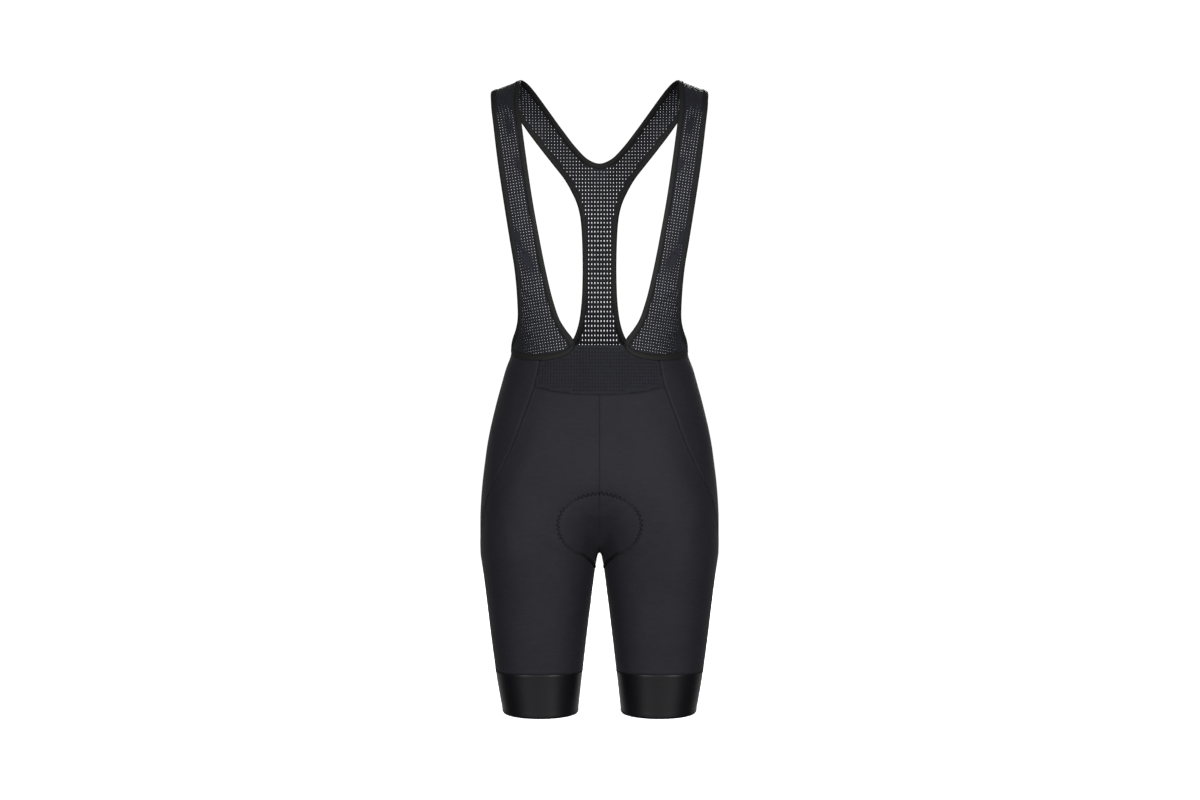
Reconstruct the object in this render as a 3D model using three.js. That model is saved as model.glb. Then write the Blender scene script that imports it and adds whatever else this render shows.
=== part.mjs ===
// Cycling bib shorts, filled out as if worn and held up at the shoulders.
// Sizes are in millimetres. +X is the wearer's left, -Y the front and +Z up. The origin lies
// midway between the two shoulder straps, level with their highest points.

import * as THREE from "three";

// Cloth and trims
const seamGap = 0.3;
const shortsCloth = 1.5;
const meshCloth = 1.2;
const gripperCloth = 1.8;
const bindingWidth = 8;
const bindingProud = 0.6;
const bindingBelow = 1.8;
const footBindingWidth = 9;
const footBindingCloth = 1.6;
const laidOn = 0.4;
const padClearance = 0.9;
const padEdgeThickness = 2.5;
const padMiddleThickness = 9;

// Heights that join the pieces, measured down from the shoulders
const crotchLevel = -640;
const levelRingsLevel = -540;
const levelLegsLevel = -720;
const evenRowsLevel = -470;
const gripperLevel = -838;
const hemLevel = -897.5;
const hemDip = 3;
const legsTouchLevel = -671;
const belowCrotchLevel = -700;
const underarmLevel = -385;

// The figure: half-width at the side, how far two legs are apart (0 is one round body, 1 is two
// legs that just touch) and the depths in front of and behind the side line.
const figure = [
  { z: 0, side: 205, split: 0, front: 84, back: 78 },
  { z: -100, side: 195, split: 0, front: 84, back: 78 },
  { z: -200, side: 176, split: 0, front: 91, back: 82 },
  { z: -300, side: 147, split: 0, front: 91, back: 79 },
  { z: -345, side: 132, split: 0, front: 89, back: 80 },
  { z: -383, side: 124.5, split: 0, front: 88, back: 84 },
  { z: -412, side: 133, split: 0, front: 92, back: 90 },
  { z: -454, side: 145, split: 0, front: 97, back: 99 },
  { z: -497, side: 155, split: 0, front: 100, back: 110 },
  { z: -521, side: 159.5, split: 0, front: 101, back: 116 },
  { z: -546, side: 163, split: 0.12, front: 101, back: 120 },
  { z: -571, side: 166, split: 0.32, front: 100, back: 122 },
  { z: -596, side: 168, split: 0.55, front: 98, back: 121 },
  { z: -621, side: 169, split: 0.77, front: 96, back: 117 },
  { z: -646, side: 169, split: 0.93, front: 93, back: 111 },
  { z: -671, side: 168.5, split: 1.043, front: 90, back: 104 },
  { z: -682, side: 167, split: 1.062, front: 88.5, back: 101 },
  { z: -738, side: 160, split: 1.162, front: 80, back: 86 },
  { z: -795, side: 153, split: 1.284, front: 72, back: 75 },
  { z: -852, side: 145, split: 1.427, front: 64, back: 66 },
  { z: -912, side: 134, split: 1.62, front: 57, back: 60 },
];
const sectionRoundness = 2.2;

// Side view of the shoulder that the straps pass over, from front to back.
const shoulderArch = [
  { y: -76, z: -70 },
  { y: -62, z: -42 },
  { y: -42, z: -19 },
  { y: -20, z: -4.5 },
  { y: 0, z: 0 },
  { y: 20, z: -4.5 },
  { y: 41, z: -19 },
  { y: 59, z: -42 },
  { y: 71, z: -70 },
];
const shoulderSlope = 0.385;
const shoulderNeckSide = 110;
const shoulderSlopeEnds = -60;

// Waist lines along half of a ring: share of the way from centre front to centre back, the top
// edge of the shorts and the seam under the waist insert.
const waist = [
  { share: 0, top: -378, insert: -447.5 },
  { share: 0.1, top: -378, insert: -446 },
  { share: 0.165, top: -388, insert: -443 },
  { share: 0.235, top: -395.5, insert: -437 },
  { share: 0.36, top: -392.5, insert: -434 },
  { share: 0.43, top: -388, insert: -436 },
  { share: 0.475, top: -384.8, insert: -437 },
  { share: 0.504, top: -387.2, insert: -438 },
  { share: 0.56, top: -394.5, insert: -441 },
  { share: 0.62, top: -401.4, insert: -445 },
  { share: 0.68, top: -404.4, insert: -448 },
  { share: 0.72, top: -409, insert: -450 },
  { share: 0.8, top: -416, insert: -453 },
  { share: 0.9, top: -430, insert: -456 },
  { share: 1, top: -438, insert: -458 },
];

// Long seams of the side panel, measured round the cloth from the side line: the front seam lies
// ahead of it at the waist and crosses behind it on the thigh.
const sideSeams = [
  { level: -370, ahead: 80, behind: 66 },
  { level: -434, ahead: 95, behind: 74 },
  { level: -493, ahead: 88, behind: 82 },
  { level: -552, ahead: 70, behind: 85 },
  { level: -588, ahead: 51, behind: 83 },
  { level: -624, ahead: 32, behind: 79 },
  { level: -670, ahead: 8, behind: 72 },
  { level: -720, ahead: -9, behind: 65 },
  { level: -850, ahead: -16, behind: 50 },
];

// Front strap edges: distance of the inner and the outer edge from the midline.
const frontStrap = [
  { z: 0, inner: 110, outer: 152.7 },
  { z: -24, inner: 111.8, outer: 153 },
  { z: -48, inner: 111.2, outer: 151.5 },
  { z: -72, inner: 108.1, outer: 148.6 },
  { z: -120, inner: 101.6, outer: 142.7 },
  { z: -176, inner: 93.2, outer: 134.3 },
  { z: -232, inner: 83.1, outer: 125.4 },
  { z: -274, inner: 74.7, outer: 118.7 },
  { z: -315, inner: 64.9, outer: 115.3 },
  { z: -343, inner: 55.2, outer: 115.2 },
  { z: -357, inner: 46.4, outer: 118.4 },
  { z: -369, inner: 37.2, outer: 123 },
];
const footCorner = { innerShare: 0.1, innerZ: -377.5, outerShare: 0.475, outerZ: -375.5 };
const footCurveRows = 5;

// Back neck edge from the shoulder to the bottom of the V, and the armhole edge beside it.
const backStrap = [
  { neckX: 110, neckZ: 0, armX: 152.7, armZ: 0 },
  { neckX: 102.2, neckZ: -3.5, armX: 139.4, armZ: -16 },
  { neckX: 85.7, neckZ: -21.5, armX: 120.2, armZ: -44 },
  { neckX: 68.6, neckZ: -43.9, armX: 103.3, armZ: -68 },
  { neckX: 51.4, neckZ: -66.6, armX: 84.4, armZ: -92.5 },
  { neckX: 34.1, neckZ: -88.3, armX: 67.4, armZ: -113.8 },
  { neckX: 16.7, neckZ: -105.2, armX: 50.6, armZ: -135.3 },
  { neckX: 0, neckZ: -111.3, armX: 39.9, armZ: -154.1 },
];

// The stem below the V: heights on the centre line and the armhole edge beside them.
const backStem = [
  { middleZ: -142.3, armX: 33.4, armZ: -168.4 },
  { middleZ: -171.3, armX: 29, armZ: -184.4 },
  { middleZ: -200.4, armX: 26.7, armZ: -201.8 },
  { middleZ: -236.7, armX: 25, armZ: -236.7 },
  { middleZ: -280.3, armX: 24.8, armZ: -280.3 },
  { middleZ: -316.6, armX: 26.5, armZ: -316.6 },
  { middleZ: -350, armX: 30.9, armZ: -345.6 },
  { middleZ: -385, armX: 38.5, armZ: -366 },
  { middleZ: -415, armX: 50, armZ: -380.5 },
];

// The yoke's flared base: shares along its bottom seam and the armhole edge above them.
const yokeBase = [
  { seamShare: 1, armShare: 0.8, armZ: -390 },
  { seamShare: 0.88, armShare: 0.75, armZ: -394.5 },
  { seamShare: 0.78, armShare: 0.71, armZ: -396 },
  { seamShare: 0.7, armShare: 0.685, armZ: -395.5 },
];

// The armhole edge under the arm, from the back round the side to the front strap.
const underarm = [
  { share: 0.72, z: -395.8 },
  { share: 0.685, z: -395.5 },
  { share: 0.65, z: -394 },
  { share: 0.62, z: -392 },
  { share: 0.58, z: -388 },
  { share: 0.54, z: -383 },
  { share: 0.504, z: -378.5 },
  { share: 0.475, z: -375.5 },
  { share: 0.43, z: -369 },
];

// Seat pad: half-width in front of and behind the inseam at each level.
const seatPad = [
  { level: -551, front: 10, back: 44 },
  { level: -562, front: 12, back: 70 },
  { level: -574, front: 22, back: 79 },
  { level: -583, front: 44, back: 82 },
  { level: -594, front: 55, back: 83 },
  { level: -611, front: 61, back: 80 },
  { level: -626, front: 61, back: 72 },
  { level: -640, front: 57, back: 62 },
  { level: -654, front: 41, back: 44 },
  { level: -668, front: 16, back: 18 },
];
const padFrontTop = -574;
const padBackTop = -551;
const padBottom = -668;

// Materials
const cloth = (colour, roughness) => new THREE.MeshStandardMaterial({ color: colour, roughness, metalness: 0 });
const panelMaterial = cloth(0x2d2d33, 0.85);
const sidePanelMaterial = cloth(0x34343a, 0.8);
const meshMaterial = cloth(0x2b2b32, 0.85);
const bindingMaterial = cloth(0x20201e, 0.75);
const gripperMaterial = cloth(0x1c1c20, 0.5);
const padMaterial = cloth(0x18181b, 0.9);

// Tables

function smoothColumn(rows, key, column) {
  const xs = rows.map((row) => row[key]);
  const ys = rows.map((row) => row[column]);
  const slopes = xs.slice(1).map((x, i) => (ys[i + 1] - ys[i]) / (x - xs[i]));
  const tangents = xs.map((_, i) => {
    if (i === 0) return slopes[0];
    if (i === xs.length - 1) return slopes[i - 1];
    if (slopes[i - 1] * slopes[i] <= 0) return 0;
    return (2 * slopes[i - 1] * slopes[i]) / (slopes[i - 1] + slopes[i]);
  });
  const rising = xs[xs.length - 1] > xs[0];
  return (x) => {
    let i = 0;
    while (i < xs.length - 2 && (rising ? x > xs[i + 1] : x < xs[i + 1])) i += 1;
    const width = xs[i + 1] - xs[i];
    const t = Math.min(Math.max((x - xs[i]) / width, 0), 1);
    const rest = 1 - t;
    return (
      ys[i] * (1 + 2 * t) * rest * rest +
      ys[i + 1] * t * t * (3 - 2 * t) +
      width * (tangents[i] * t * rest * rest - tangents[i + 1] * t * t * rest)
    );
  };
}

const mix = (from, to, t) => from + (to - from) * t;

function smoothStep(from, to, x) {
  const t = Math.min(Math.max((x - from) / (to - from), 0), 1);
  return t * t * (3 - 2 * t);
}

const sideAt = smoothColumn(figure, "z", "side");
const splitAt = smoothColumn(figure, "z", "split");
const frontAt = smoothColumn(figure, "z", "front");
const backAt = smoothColumn(figure, "z", "back");
const topAt = smoothColumn(waist, "share", "top");
const insertAt = smoothColumn(waist, "share", "insert");
const seamAheadAt = smoothColumn(sideSeams, "level", "ahead");
const seamBehindAt = smoothColumn(sideSeams, "level", "behind");

// The lower body: two leg tubes that run together above the crotch

const crotchBlend = 14;
const blendPerRise = 0.5;
const frontBlendLimit = 0.6;
const backBlendScale = 1.6;
const backBlendDepth = 60;
const smallestBlend = 1e-6;

function legSection(z) {
  const side = sideAt(z);
  const split = splitAt(z);
  const halfWidth = side / (1 + split);
  const axis = halfWidth * split;
  const opened = crotchBlend + blendPerRise * Math.max(z - legsTouchLevel, 0);
  return {
    halfWidth,
    axis,
    front: frontAt(z),
    back: backAt(z),
    frontBlend: Math.max(Math.min(opened, frontBlendLimit * axis), smallestBlend),
    backBlend: Math.max(Math.min(backBlendScale * opened, axis), smallestBlend),
  };
}

const sectionsPerMillimetre = 20;
const sectionCache = new Map();

function cachedSection(z) {
  const key = Math.round(z * sectionsPerMillimetre);
  if (!sectionCache.has(key)) sectionCache.set(key, legSection(key / sectionsPerMillimetre));
  return sectionCache.get(key);
}

function tubeDistance(x, y, section) {
  const depth = y < 0 ? section.front : section.back;
  const across = Math.abs(x - section.axis) / section.halfWidth;
  const along = Math.abs(y) / depth;
  const size = (across ** sectionRoundness + along ** sectionRoundness) ** (1 / sectionRoundness);
  return (size - 1) * section.halfWidth;
}

function bodyDistance(x, y, z) {
  const section = cachedSection(z);
  const own = tubeDistance(x, y, section);
  const other = tubeDistance(-x, y, section);
  const blend = mix(section.frontBlend, section.backBlend, smoothStep(0, backBlendDepth, y));
  const overlap = Math.max(blend - Math.abs(own - other), 0) / blend;
  return Math.min(own, other) - (overlap * overlap * blend) / 4;
}

function surfaceAlong(distanceAt, limit) {
  let inside = 0;
  let outside = limit;
  for (let step = 0; step < 30; step += 1) {
    const middle = (inside + outside) / 2;
    if (distanceAt(middle) < 0) inside = middle;
    else outside = middle;
  }
  return inside;
}

const crotchHeight = belowCrotchLevel +
  surfaceAlong((rise) => -bodyDistance(0, 0, belowCrotchLevel + rise), crotchLevel - belowCrotchLevel);

// Rings dip towards the midline near the crotch, so that they meet at the inseam.
function midlineHeight(level) {
  if (level >= levelRingsLevel || level <= levelLegsLevel) return level;
  if (level >= crotchLevel) {
    const rise = levelRingsLevel - crotchHeight;
    const span = levelRingsLevel - crotchLevel;
    const bend = 3 - span / rise;
    const t = (level - crotchLevel) / span;
    return crotchHeight + rise * (bend * t * t + (1 - bend) * t * t * t);
  }
  const t = (level - levelLegsLevel) / (crotchLevel - levelLegsLevel);
  return level + (crotchHeight - crotchLevel) * t * t;
}

function ringHeight(level, x) {
  const outward = Math.min(Math.abs(x) / sideAt(level), 1);
  return level + (midlineHeight(level) - level) * (1 - outward * outward) ** 2;
}

const ringSamples = 240;
const farOutside = 260;
const hipRingAxis = 60;

function traceRing(level) {
  const closed = level <= crotchLevel;
  const legAxis = cachedSection(Math.min(level, crotchLevel)).axis;
  const axis = closed ? legAxis : mix(legAxis, hipRingAxis, smoothStep(crotchLevel, levelRingsLevel, level));
  const middle = midlineHeight(level);
  const frontDepth = closed ? 0 : surfaceAlong((r) => bodyDistance(0, -r, middle), farOutside);
  const backDepth = closed ? 0 : surfaceAlong((r) => bodyDistance(0, r, middle), farOutside);
  const start = closed ? -Math.PI : Math.atan2(-frontDepth, -axis);
  const end = closed ? Math.PI : Math.atan2(backDepth, -axis);
  const dip = hemDip * smoothStep(gripperLevel, hemLevel, level);
  const points = [];
  for (let i = 0; i <= ringSamples; i += 1) {
    const angle = mix(start, end, i / ringSamples);
    const cos = Math.cos(angle);
    const sin = Math.sin(angle);
    const limit = cos < 0 ? Math.min(farOutside, -axis / cos) : farOutside;
    const reach = surfaceAlong((r) => bodyDistance(axis + r * cos, r * sin, ringHeight(level, axis + r * cos)), limit);
    const x = Math.max(axis + reach * cos, 0);
    const frontness = Math.max(-sin, 0) ** 2;
    points.push(new THREE.Vector3(x, reach * sin, ringHeight(level, x) - dip * frontness));
  }
  if (level >= crotchLevel) {
    points[0].set(0, -frontDepth, middle);
    points[ringSamples].set(0, backDepth, middle);
  } else {
    points[ringSamples].copy(points[0]);
  }
  return evenlySpaced(points);
}

function evenlySpaced(points) {
  const lengths = [0];
  for (let i = 1; i < points.length; i += 1) lengths.push(lengths[i - 1] + points[i].distanceTo(points[i - 1]));
  const total = lengths[lengths.length - 1];
  const even = [points[0].clone()];
  let i = 0;
  for (let k = 1; k < ringSamples; k += 1) {
    const target = (total * k) / ringSamples;
    while (lengths[i + 1] < target) i += 1;
    even.push(points[i].clone().lerp(points[i + 1], (target - lengths[i]) / (lengths[i + 1] - lengths[i])));
  }
  even.push(points[points.length - 1].clone());
  let side = 1;
  while (even[side].y < 0 || even[side].x < even[side - 1].x - 1) side += 1;
  const sideShare = (side - even[side].y / (even[side].y - even[side - 1].y)) / ringSamples;
  return { points: even, total, sideShare };
}

const ringStep = 4;
const ringCache = new Map();

function ringNumber(number) {
  if (!ringCache.has(number)) ringCache.set(number, traceRing(crotchLevel - number * ringStep));
  return ringCache.get(number);
}

function ringMeasure(level, measure) {
  const place = (crotchLevel - level) / ringStep;
  const number = Math.floor(place + 1e-9);
  return mix(ringNumber(number)[measure], ringNumber(number + 1)[measure], place - number);
}

const ringLength = (level) => ringMeasure(level, "total");
const frontSeamAt = (level) => ringMeasure(level, "sideShare") - seamAheadAt(level) / ringLength(level);
const backSeamAt = (level) => ringMeasure(level, "sideShare") + seamBehindAt(level) / ringLength(level);

function onRing(ring, share) {
  const place = Math.min(Math.max(share, 0), 1) * ringSamples;
  const index = Math.min(Math.floor(place), ringSamples - 1);
  return ring.points[index].clone().lerp(ring.points[index + 1], place - index);
}

function outward(point) {
  const step = 0.2;
  const { x, y, z } = point;
  return new THREE.Vector3(
    bodyDistance(x + step, y, z) - bodyDistance(x - step, y, z),
    bodyDistance(x, y + step, z) - bodyDistance(x, y - step, z),
    bodyDistance(x, y, z + step) - bodyDistance(x, y, z - step),
  ).normalize();
}

// A point of the shorts: level down the body, share round the ring, and depth inside the surface.
function skin(level, share, depth) {
  const place = (crotchLevel - level) / ringStep;
  const number = Math.floor(place + 1e-9);
  const point = onRing(ringNumber(number), share).lerp(onRing(ringNumber(number + 1), share), place - number);
  return point.addScaledVector(outward(point), -depth);
}

// The upper sheet: straps and yoke lie on a chest and back that join over the shoulder

const profileBottom = -450;
const profileBelowArch = -110;
const profileStep = 10;

function profilePoints() {
  const points = [];
  for (let z = profileBottom; z <= profileBelowArch; z += profileStep) {
    points.push(new THREE.Vector3(0, -frontAt(z), z));
  }
  for (const row of shoulderArch) points.push(new THREE.Vector3(0, row.y, row.z));
  for (let z = profileBelowArch; z >= profileBottom; z -= profileStep) {
    points.push(new THREE.Vector3(0, backAt(z), z));
  }
  return points;
}

const profileSamples = 1600;
const profile = new THREE.CatmullRomCurve3(profilePoints(), false, "centripetal").getPoints(profileSamples);
const profileLengths = [0];
for (let i = 1; i < profile.length; i += 1) {
  profileLengths.push(profileLengths[i - 1] + profile[i].distanceTo(profile[i - 1]));
}
const profileTop = profile.reduce((best, point, i) => (point.z > profile[best].z ? i : best), 0);

// Distance along the profile from the shoulder: less than 0 in front and more than 0 behind.
function alongProfile(z, side) {
  const step = side === "front" ? -1 : 1;
  let i = profileTop;
  while (profile[i + step] && profile[i + step].z > z) i += step;
  if (!profile[i + step]) throw new Error(`no profile at ${z}`);
  const t = (z - profile[i].z) / (profile[i + step].z - profile[i].z);
  return mix(profileLengths[i], profileLengths[i + step], t) - profileLengths[profileTop];
}

function profileAt(along) {
  const target = along + profileLengths[profileTop];
  let low = 0;
  let high = profile.length - 1;
  while (high - low > 1) {
    const middle = (low + high) >> 1;
    if (profileLengths[middle] <= target) low = middle;
    else high = middle;
  }
  const t = (target - profileLengths[low]) / (profileLengths[high] - profileLengths[low]);
  return profile[low].clone().lerp(profile[high], t);
}

const crossSamples = 60;

function crossCurve(along) {
  const { y, z } = profileAt(along);
  const side = sideAt(z);
  const points = [];
  for (let i = 0; i <= crossSamples; i += 1) {
    const angle = (i / crossSamples) * (Math.PI / 2);
    const x = side * Math.sin(angle) ** (2 / sectionRoundness);
    const depth = y * Math.cos(angle) ** (2 / sectionRoundness);
    points.push(new THREE.Vector2(i === crossSamples ? side : x, i === crossSamples ? 0 : depth));
  }
  const lengths = [0];
  for (let i = 1; i <= crossSamples; i += 1) lengths.push(lengths[i - 1] + points[i].distanceTo(points[i - 1]));
  return { points, lengths, z };
}

// Distance from the midline along the cloth, for a place at x.
function acrossSheet(x, along) {
  const { points, lengths } = crossCurve(along);
  let i = 0;
  while (i < crossSamples - 1 && points[i + 1].x < x) i += 1;
  const t = Math.min((x - points[i].x) / (points[i + 1].x - points[i].x), 1);
  return mix(lengths[i], lengths[i + 1], t);
}

function sheetPoint(across, along) {
  const { points, lengths, z } = crossCurve(along);
  const reach = Math.min(Math.abs(across), lengths[crossSamples]);
  let i = 0;
  while (i < crossSamples - 1 && lengths[i + 1] < reach) i += 1;
  const place = points[i].clone().lerp(points[i + 1], (reach - lengths[i]) / (lengths[i + 1] - lengths[i]));
  const slope = shoulderSlope * smoothStep(shoulderSlopeEnds, 0, z);
  const drop = slope * Math.max(place.x - shoulderNeckSide, 0);
  return new THREE.Vector3(across < 0 ? -place.x : place.x, place.y, z - drop);
}

// A point of the sheet: place.x across from the midline, place.y along the profile.
function sheet(place, depth) {
  const step = 0.5;
  const point = sheetPoint(place.x, place.y);
  const acrossStep = sheetPoint(place.x + step, place.y).sub(sheetPoint(place.x - step, place.y));
  const alongStep = sheetPoint(place.x, place.y + step).sub(sheetPoint(place.x, place.y - step));
  return point.addScaledVector(acrossStep.cross(alongStep).normalize(), -depth);
}

function onSheet(x, z, side) {
  const along = alongProfile(z, side);
  return new THREE.Vector2(acrossSheet(x, along), along);
}

function shareOnSheet(share, z, side) {
  const total = ringLength(z);
  return new THREE.Vector2((side === "front" ? share : 1 - share) * total, alongProfile(z, side));
}

// Patches of cloth: an outer and an inner grid of points with the same faces

function patch(columns, rows, pointAt) {
  const outer = [];
  const inner = [];
  const faces = [];
  for (let j = 0; j <= rows; j += 1) {
    for (let i = 0; i <= columns; i += 1) {
      const [outside, inside] = pointAt(i / columns, j / rows, i, j);
      outer.push(outside);
      inner.push(inside);
    }
  }
  for (let j = 0; j < rows; j += 1) {
    for (let i = 0; i < columns; i += 1) {
      const a = j * (columns + 1) + i;
      const b = a + columns + 1;
      faces.push([a, b, a + 1], [a + 1, b, b + 1]);
    }
  }
  return { outer, inner, faces };
}

function mirrored(cloth) {
  const flip = (point) => new THREE.Vector3(-point.x, point.y, point.z);
  return {
    outer: cloth.outer.map(flip),
    inner: cloth.inner.map(flip),
    faces: cloth.faces.map(([a, b, c]) => [a, c, b]),
  };
}

const weldPerMillimetre = 500;

function sewn(...cloths) {
  const outer = [];
  const inner = [];
  const faces = [];
  const known = new Map();
  for (const cloth of cloths) {
    const numbers = cloth.outer.map((point, i) => {
      const key = [point.x, point.y, point.z].map((value) => Math.round(value * weldPerMillimetre)).join();
      if (!known.has(key)) {
        known.set(key, outer.length);
        outer.push(point);
        inner.push(cloth.inner[i]);
      }
      return known.get(key);
    });
    for (const face of cloth.faces) {
      const [a, b, c] = face.map((number) => numbers[number]);
      if (a !== b && b !== c && c !== a) faces.push([a, b, c]);
    }
  }
  return { outer, inner, faces };
}

// Closes a patch into one wall: outer faces, inner faces turned over, and a rim along free edges.
function wall(cloth) {
  const count = cloth.outer.length;
  const edges = new Map();
  for (const [a, b, c] of cloth.faces) {
    for (const [from, to] of [[a, b], [b, c], [c, a]]) {
      if (!edges.delete(`${to} ${from}`)) edges.set(`${from} ${to}`, [from, to]);
    }
  }
  const index = [];
  for (const [a, b, c] of cloth.faces) index.push(a, b, c, a + count, c + count, b + count);
  for (const [from, to] of edges.values()) index.push(from, from + count, to, to, from + count, to + count);
  const geometry = new THREE.BufferGeometry();
  const points = [...cloth.outer, ...cloth.inner];
  geometry.setAttribute("position", new THREE.Float32BufferAttribute(points.flatMap((p) => [p.x, p.y, p.z]), 3));
  geometry.setIndex(signedVolume(points, index) < 0 ? index.toReversed() : index);
  return geometry;
}

function signedVolume(points, index) {
  let volume = 0;
  for (let i = 0; i < index.length; i += 3) {
    const [a, b, c] = [points[index[i]], points[index[i + 1]], points[index[i + 2]]];
    volume += a.dot(b.clone().cross(c));
  }
  return volume;
}

const bibShorts = new THREE.Group();

function addPiece(name, cloth, material) {
  const mesh = new THREE.Mesh(wall(cloth), material);
  mesh.name = name;
  bibShorts.add(mesh);
}

// The wearer's left lies at +X.
function addPair(name, cloth, material) {
  addPiece(`${name}_left`, cloth, material);
  addPiece(`${name}_right`, mirrored(cloth), material);
}

// Shorts panels

// Rows shared by all panels, so that their edges run side by side: three rows down to the line
// of the insert's seam, two more down to an even level, and then one row for each level.
const evenLevels = [
  evenRowsLevel, -498, -526, -551, -562, -574, -583, -594, -611, -626,
  -634, crotchLevel, -646, -654, -668, -688, -716, -754, -798, gripperLevel,
];
const rowsToInsert = 3;
const rowsToEven = 2;
const settlePasses = 12;

function rowLevel(row, share) {
  const top = topAt(share) - seamGap / 2;
  const seam = insertAt(share);
  if (row <= rowsToInsert) return mix(top, seam, row / rowsToInsert);
  const below = row - rowsToInsert;
  if (below <= rowsToEven) return mix(seam, evenRowsLevel, below / rowsToEven);
  return evenLevels[below - rowsToEven];
}

function seamOnRow(row, seamAt) {
  let share = seamAt(evenRowsLevel);
  for (let pass = 0; pass < settlePasses; pass += 1) share = seamAt(rowLevel(row, share));
  return share;
}

const always = (share) => () => share;

// Columns stand closer together towards the centre seams and the inseam, where the cloth turns most.
const columnCrowding = 1.45;
const spread = (u) => u ** columnCrowding;
const spreadFor = {
  front: spread,
  side: (u) => u,
  back: (u) => 1 - spread(1 - u),
};

// Share of the ring at one column of a panel, clear of the seams beside it.
function columnShare({ columns, from, to, place }, row, column) {
  const start = seamOnRow(row, from);
  const finish = seamOnRow(row, to);
  const half = seamGap / 2 / ringLength(rowLevel(row, start));
  const across = spreadFor[place](column / columns);
  return mix(start + (start > 0 ? half : 0), finish - (finish < 1 ? half : 0), across);
}

function panel(cut) {
  const rows = cut.lastRow - cut.firstRow;
  return patch(cut.columns, rows, (u, v, column, j) => {
    const row = cut.firstRow + j;
    const share = columnShare(cut, row, column);
    let level = rowLevel(row, share);
    if (j === 0) level -= cut.topGap;
    if (j === rows) level += cut.bottomGap;
    return [skin(level, share, 0), skin(level, share, cut.thickness)];
  });
}

const lastPanelRow = rowsToInsert + rowsToEven + evenLevels.length - 1;
const crotchRow = rowsToInsert + rowsToEven + evenLevels.indexOf(crotchLevel);

// Left and right panels meet at a centre seam above the crotch, and front and back panels at the
// inseam below it: the edge column is moved aside by half of the seam's gap.
function legPanel(cut) {
  const cloth = panel(cut);
  const edgeColumn = cut.place === "front" ? 0 : cut.columns;
  const away = cut.place === "front" ? -1 : 1;
  cloth.outer.forEach((outside, number) => {
    if (number % (cut.columns + 1) !== edgeColumn) return;
    const row = cut.firstRow + Math.floor(number / (cut.columns + 1));
    for (const edge of [outside, cloth.inner[number]]) {
      edge.x = Math.max(edge.x, seamGap / 2);
      if (row >= crotchRow) edge.y += (away * seamGap) / 2;
    }
  });
  return cloth;
}

const frontColumns = 14;
const sideColumns = 7;
const backColumns = 12;

const frontCut = {
  place: "front", columns: frontColumns, firstRow: rowsToInsert, lastRow: lastPanelRow,
  from: always(0), to: frontSeamAt, thickness: shortsCloth, topGap: seamGap / 2, bottomGap: seamGap / 2,
};
const sideCut = {
  place: "side", columns: sideColumns, firstRow: 0, lastRow: lastPanelRow,
  from: frontSeamAt, to: backSeamAt, thickness: shortsCloth, topGap: 0, bottomGap: seamGap / 2,
};
const backCut = {
  place: "back", columns: backColumns, firstRow: 0, lastRow: lastPanelRow,
  from: backSeamAt, to: always(1), thickness: shortsCloth, topGap: 0, bottomGap: seamGap / 2,
};
const insertCut = { ...frontCut, firstRow: 0, lastRow: rowsToInsert, thickness: meshCloth, topGap: 0 };

const insertHalf = panel(insertCut);
addPiece("waist_insert", sewn(insertHalf, mirrored(insertHalf)), meshMaterial);
addPair("front_panel", legPanel(frontCut), panelMaterial);
addPair("side_panel", panel(sideCut), sidePanelMaterial);
addPair("back_panel", legPanel(backCut), panelMaterial);

// Leg grippers: one band round each leg with its own short inseam sewn shut

const gripperColumns = 30;
const gripperRows = 3;
const gripper = patch(gripperColumns, gripperRows, (u, v) => {
  const level = mix(gripperLevel - seamGap / 2, hemLevel, v);
  return [skin(level, u, 0), skin(level, u, gripperCloth)];
});
addPair("leg_gripper", sewn(gripper), gripperMaterial);

// Seat pad: sewn inside the crotch, thin at its edge and thick in the middle

const padFrontAt = smoothColumn(seatPad, "level", "front");
const padBackAt = smoothColumn(seatPad, "level", "back");
const padColumns = 9;
const padSideFall = 3;
const padEndFall = 4;

// The pad follows the rows and columns of the panel that it is sewn to; columns past its edge
// fall together on the edge.
function padPatch(cut, halfWidthAt, top, bottom) {
  const rows = evenLevels.map((level, i) => ({ level, row: i + rowsToInsert + rowsToEven }));
  const padRows = rows.filter(({ level }) => level <= top && level >= bottom);
  const middleRow = (padRows.length - 1) / 2;
  const firstColumn = cut.place === "front" ? 0 : cut.columns - padColumns;
  return patch(padColumns, padRows.length - 1, (u, v, i, j) => {
    const { level, row } = padRows[j];
    const edge = halfWidthAt(level) / ringLength(level);
    const share = columnShare(cut, row, firstColumn + i);
    const fromMidline = Math.min(cut.place === "front" ? share : 1 - share, edge);
    const acrossFullness = 1 - (fromMidline / edge) ** padSideFall;
    const alongFullness = 1 - Math.abs((j - middleRow) / middleRow) ** padEndFall;
    const thickness = mix(padEdgeThickness, padMiddleThickness, acrossFullness * alongFullness);
    const place = cut.place === "front" ? fromMidline : 1 - fromMidline;
    const outerDepth = shortsCloth + padClearance;
    return [skin(level, place, outerDepth), skin(level, place, outerDepth + thickness)];
  });
}

const padFront = padPatch(frontCut, padFrontAt, padFrontTop, padBottom);
const padBack = padPatch(backCut, padBackAt, padBackTop, padBottom);
addPiece("seat_pad", sewn(padFront, mirrored(padFront), padBack, mirrored(padBack)), padMaterial);

// Strap and yoke edges: one line for the neck and one for the armhole, from the foot of the front
// strap over the shoulder and down the back. Places on both lines are counted in table rows.

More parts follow.
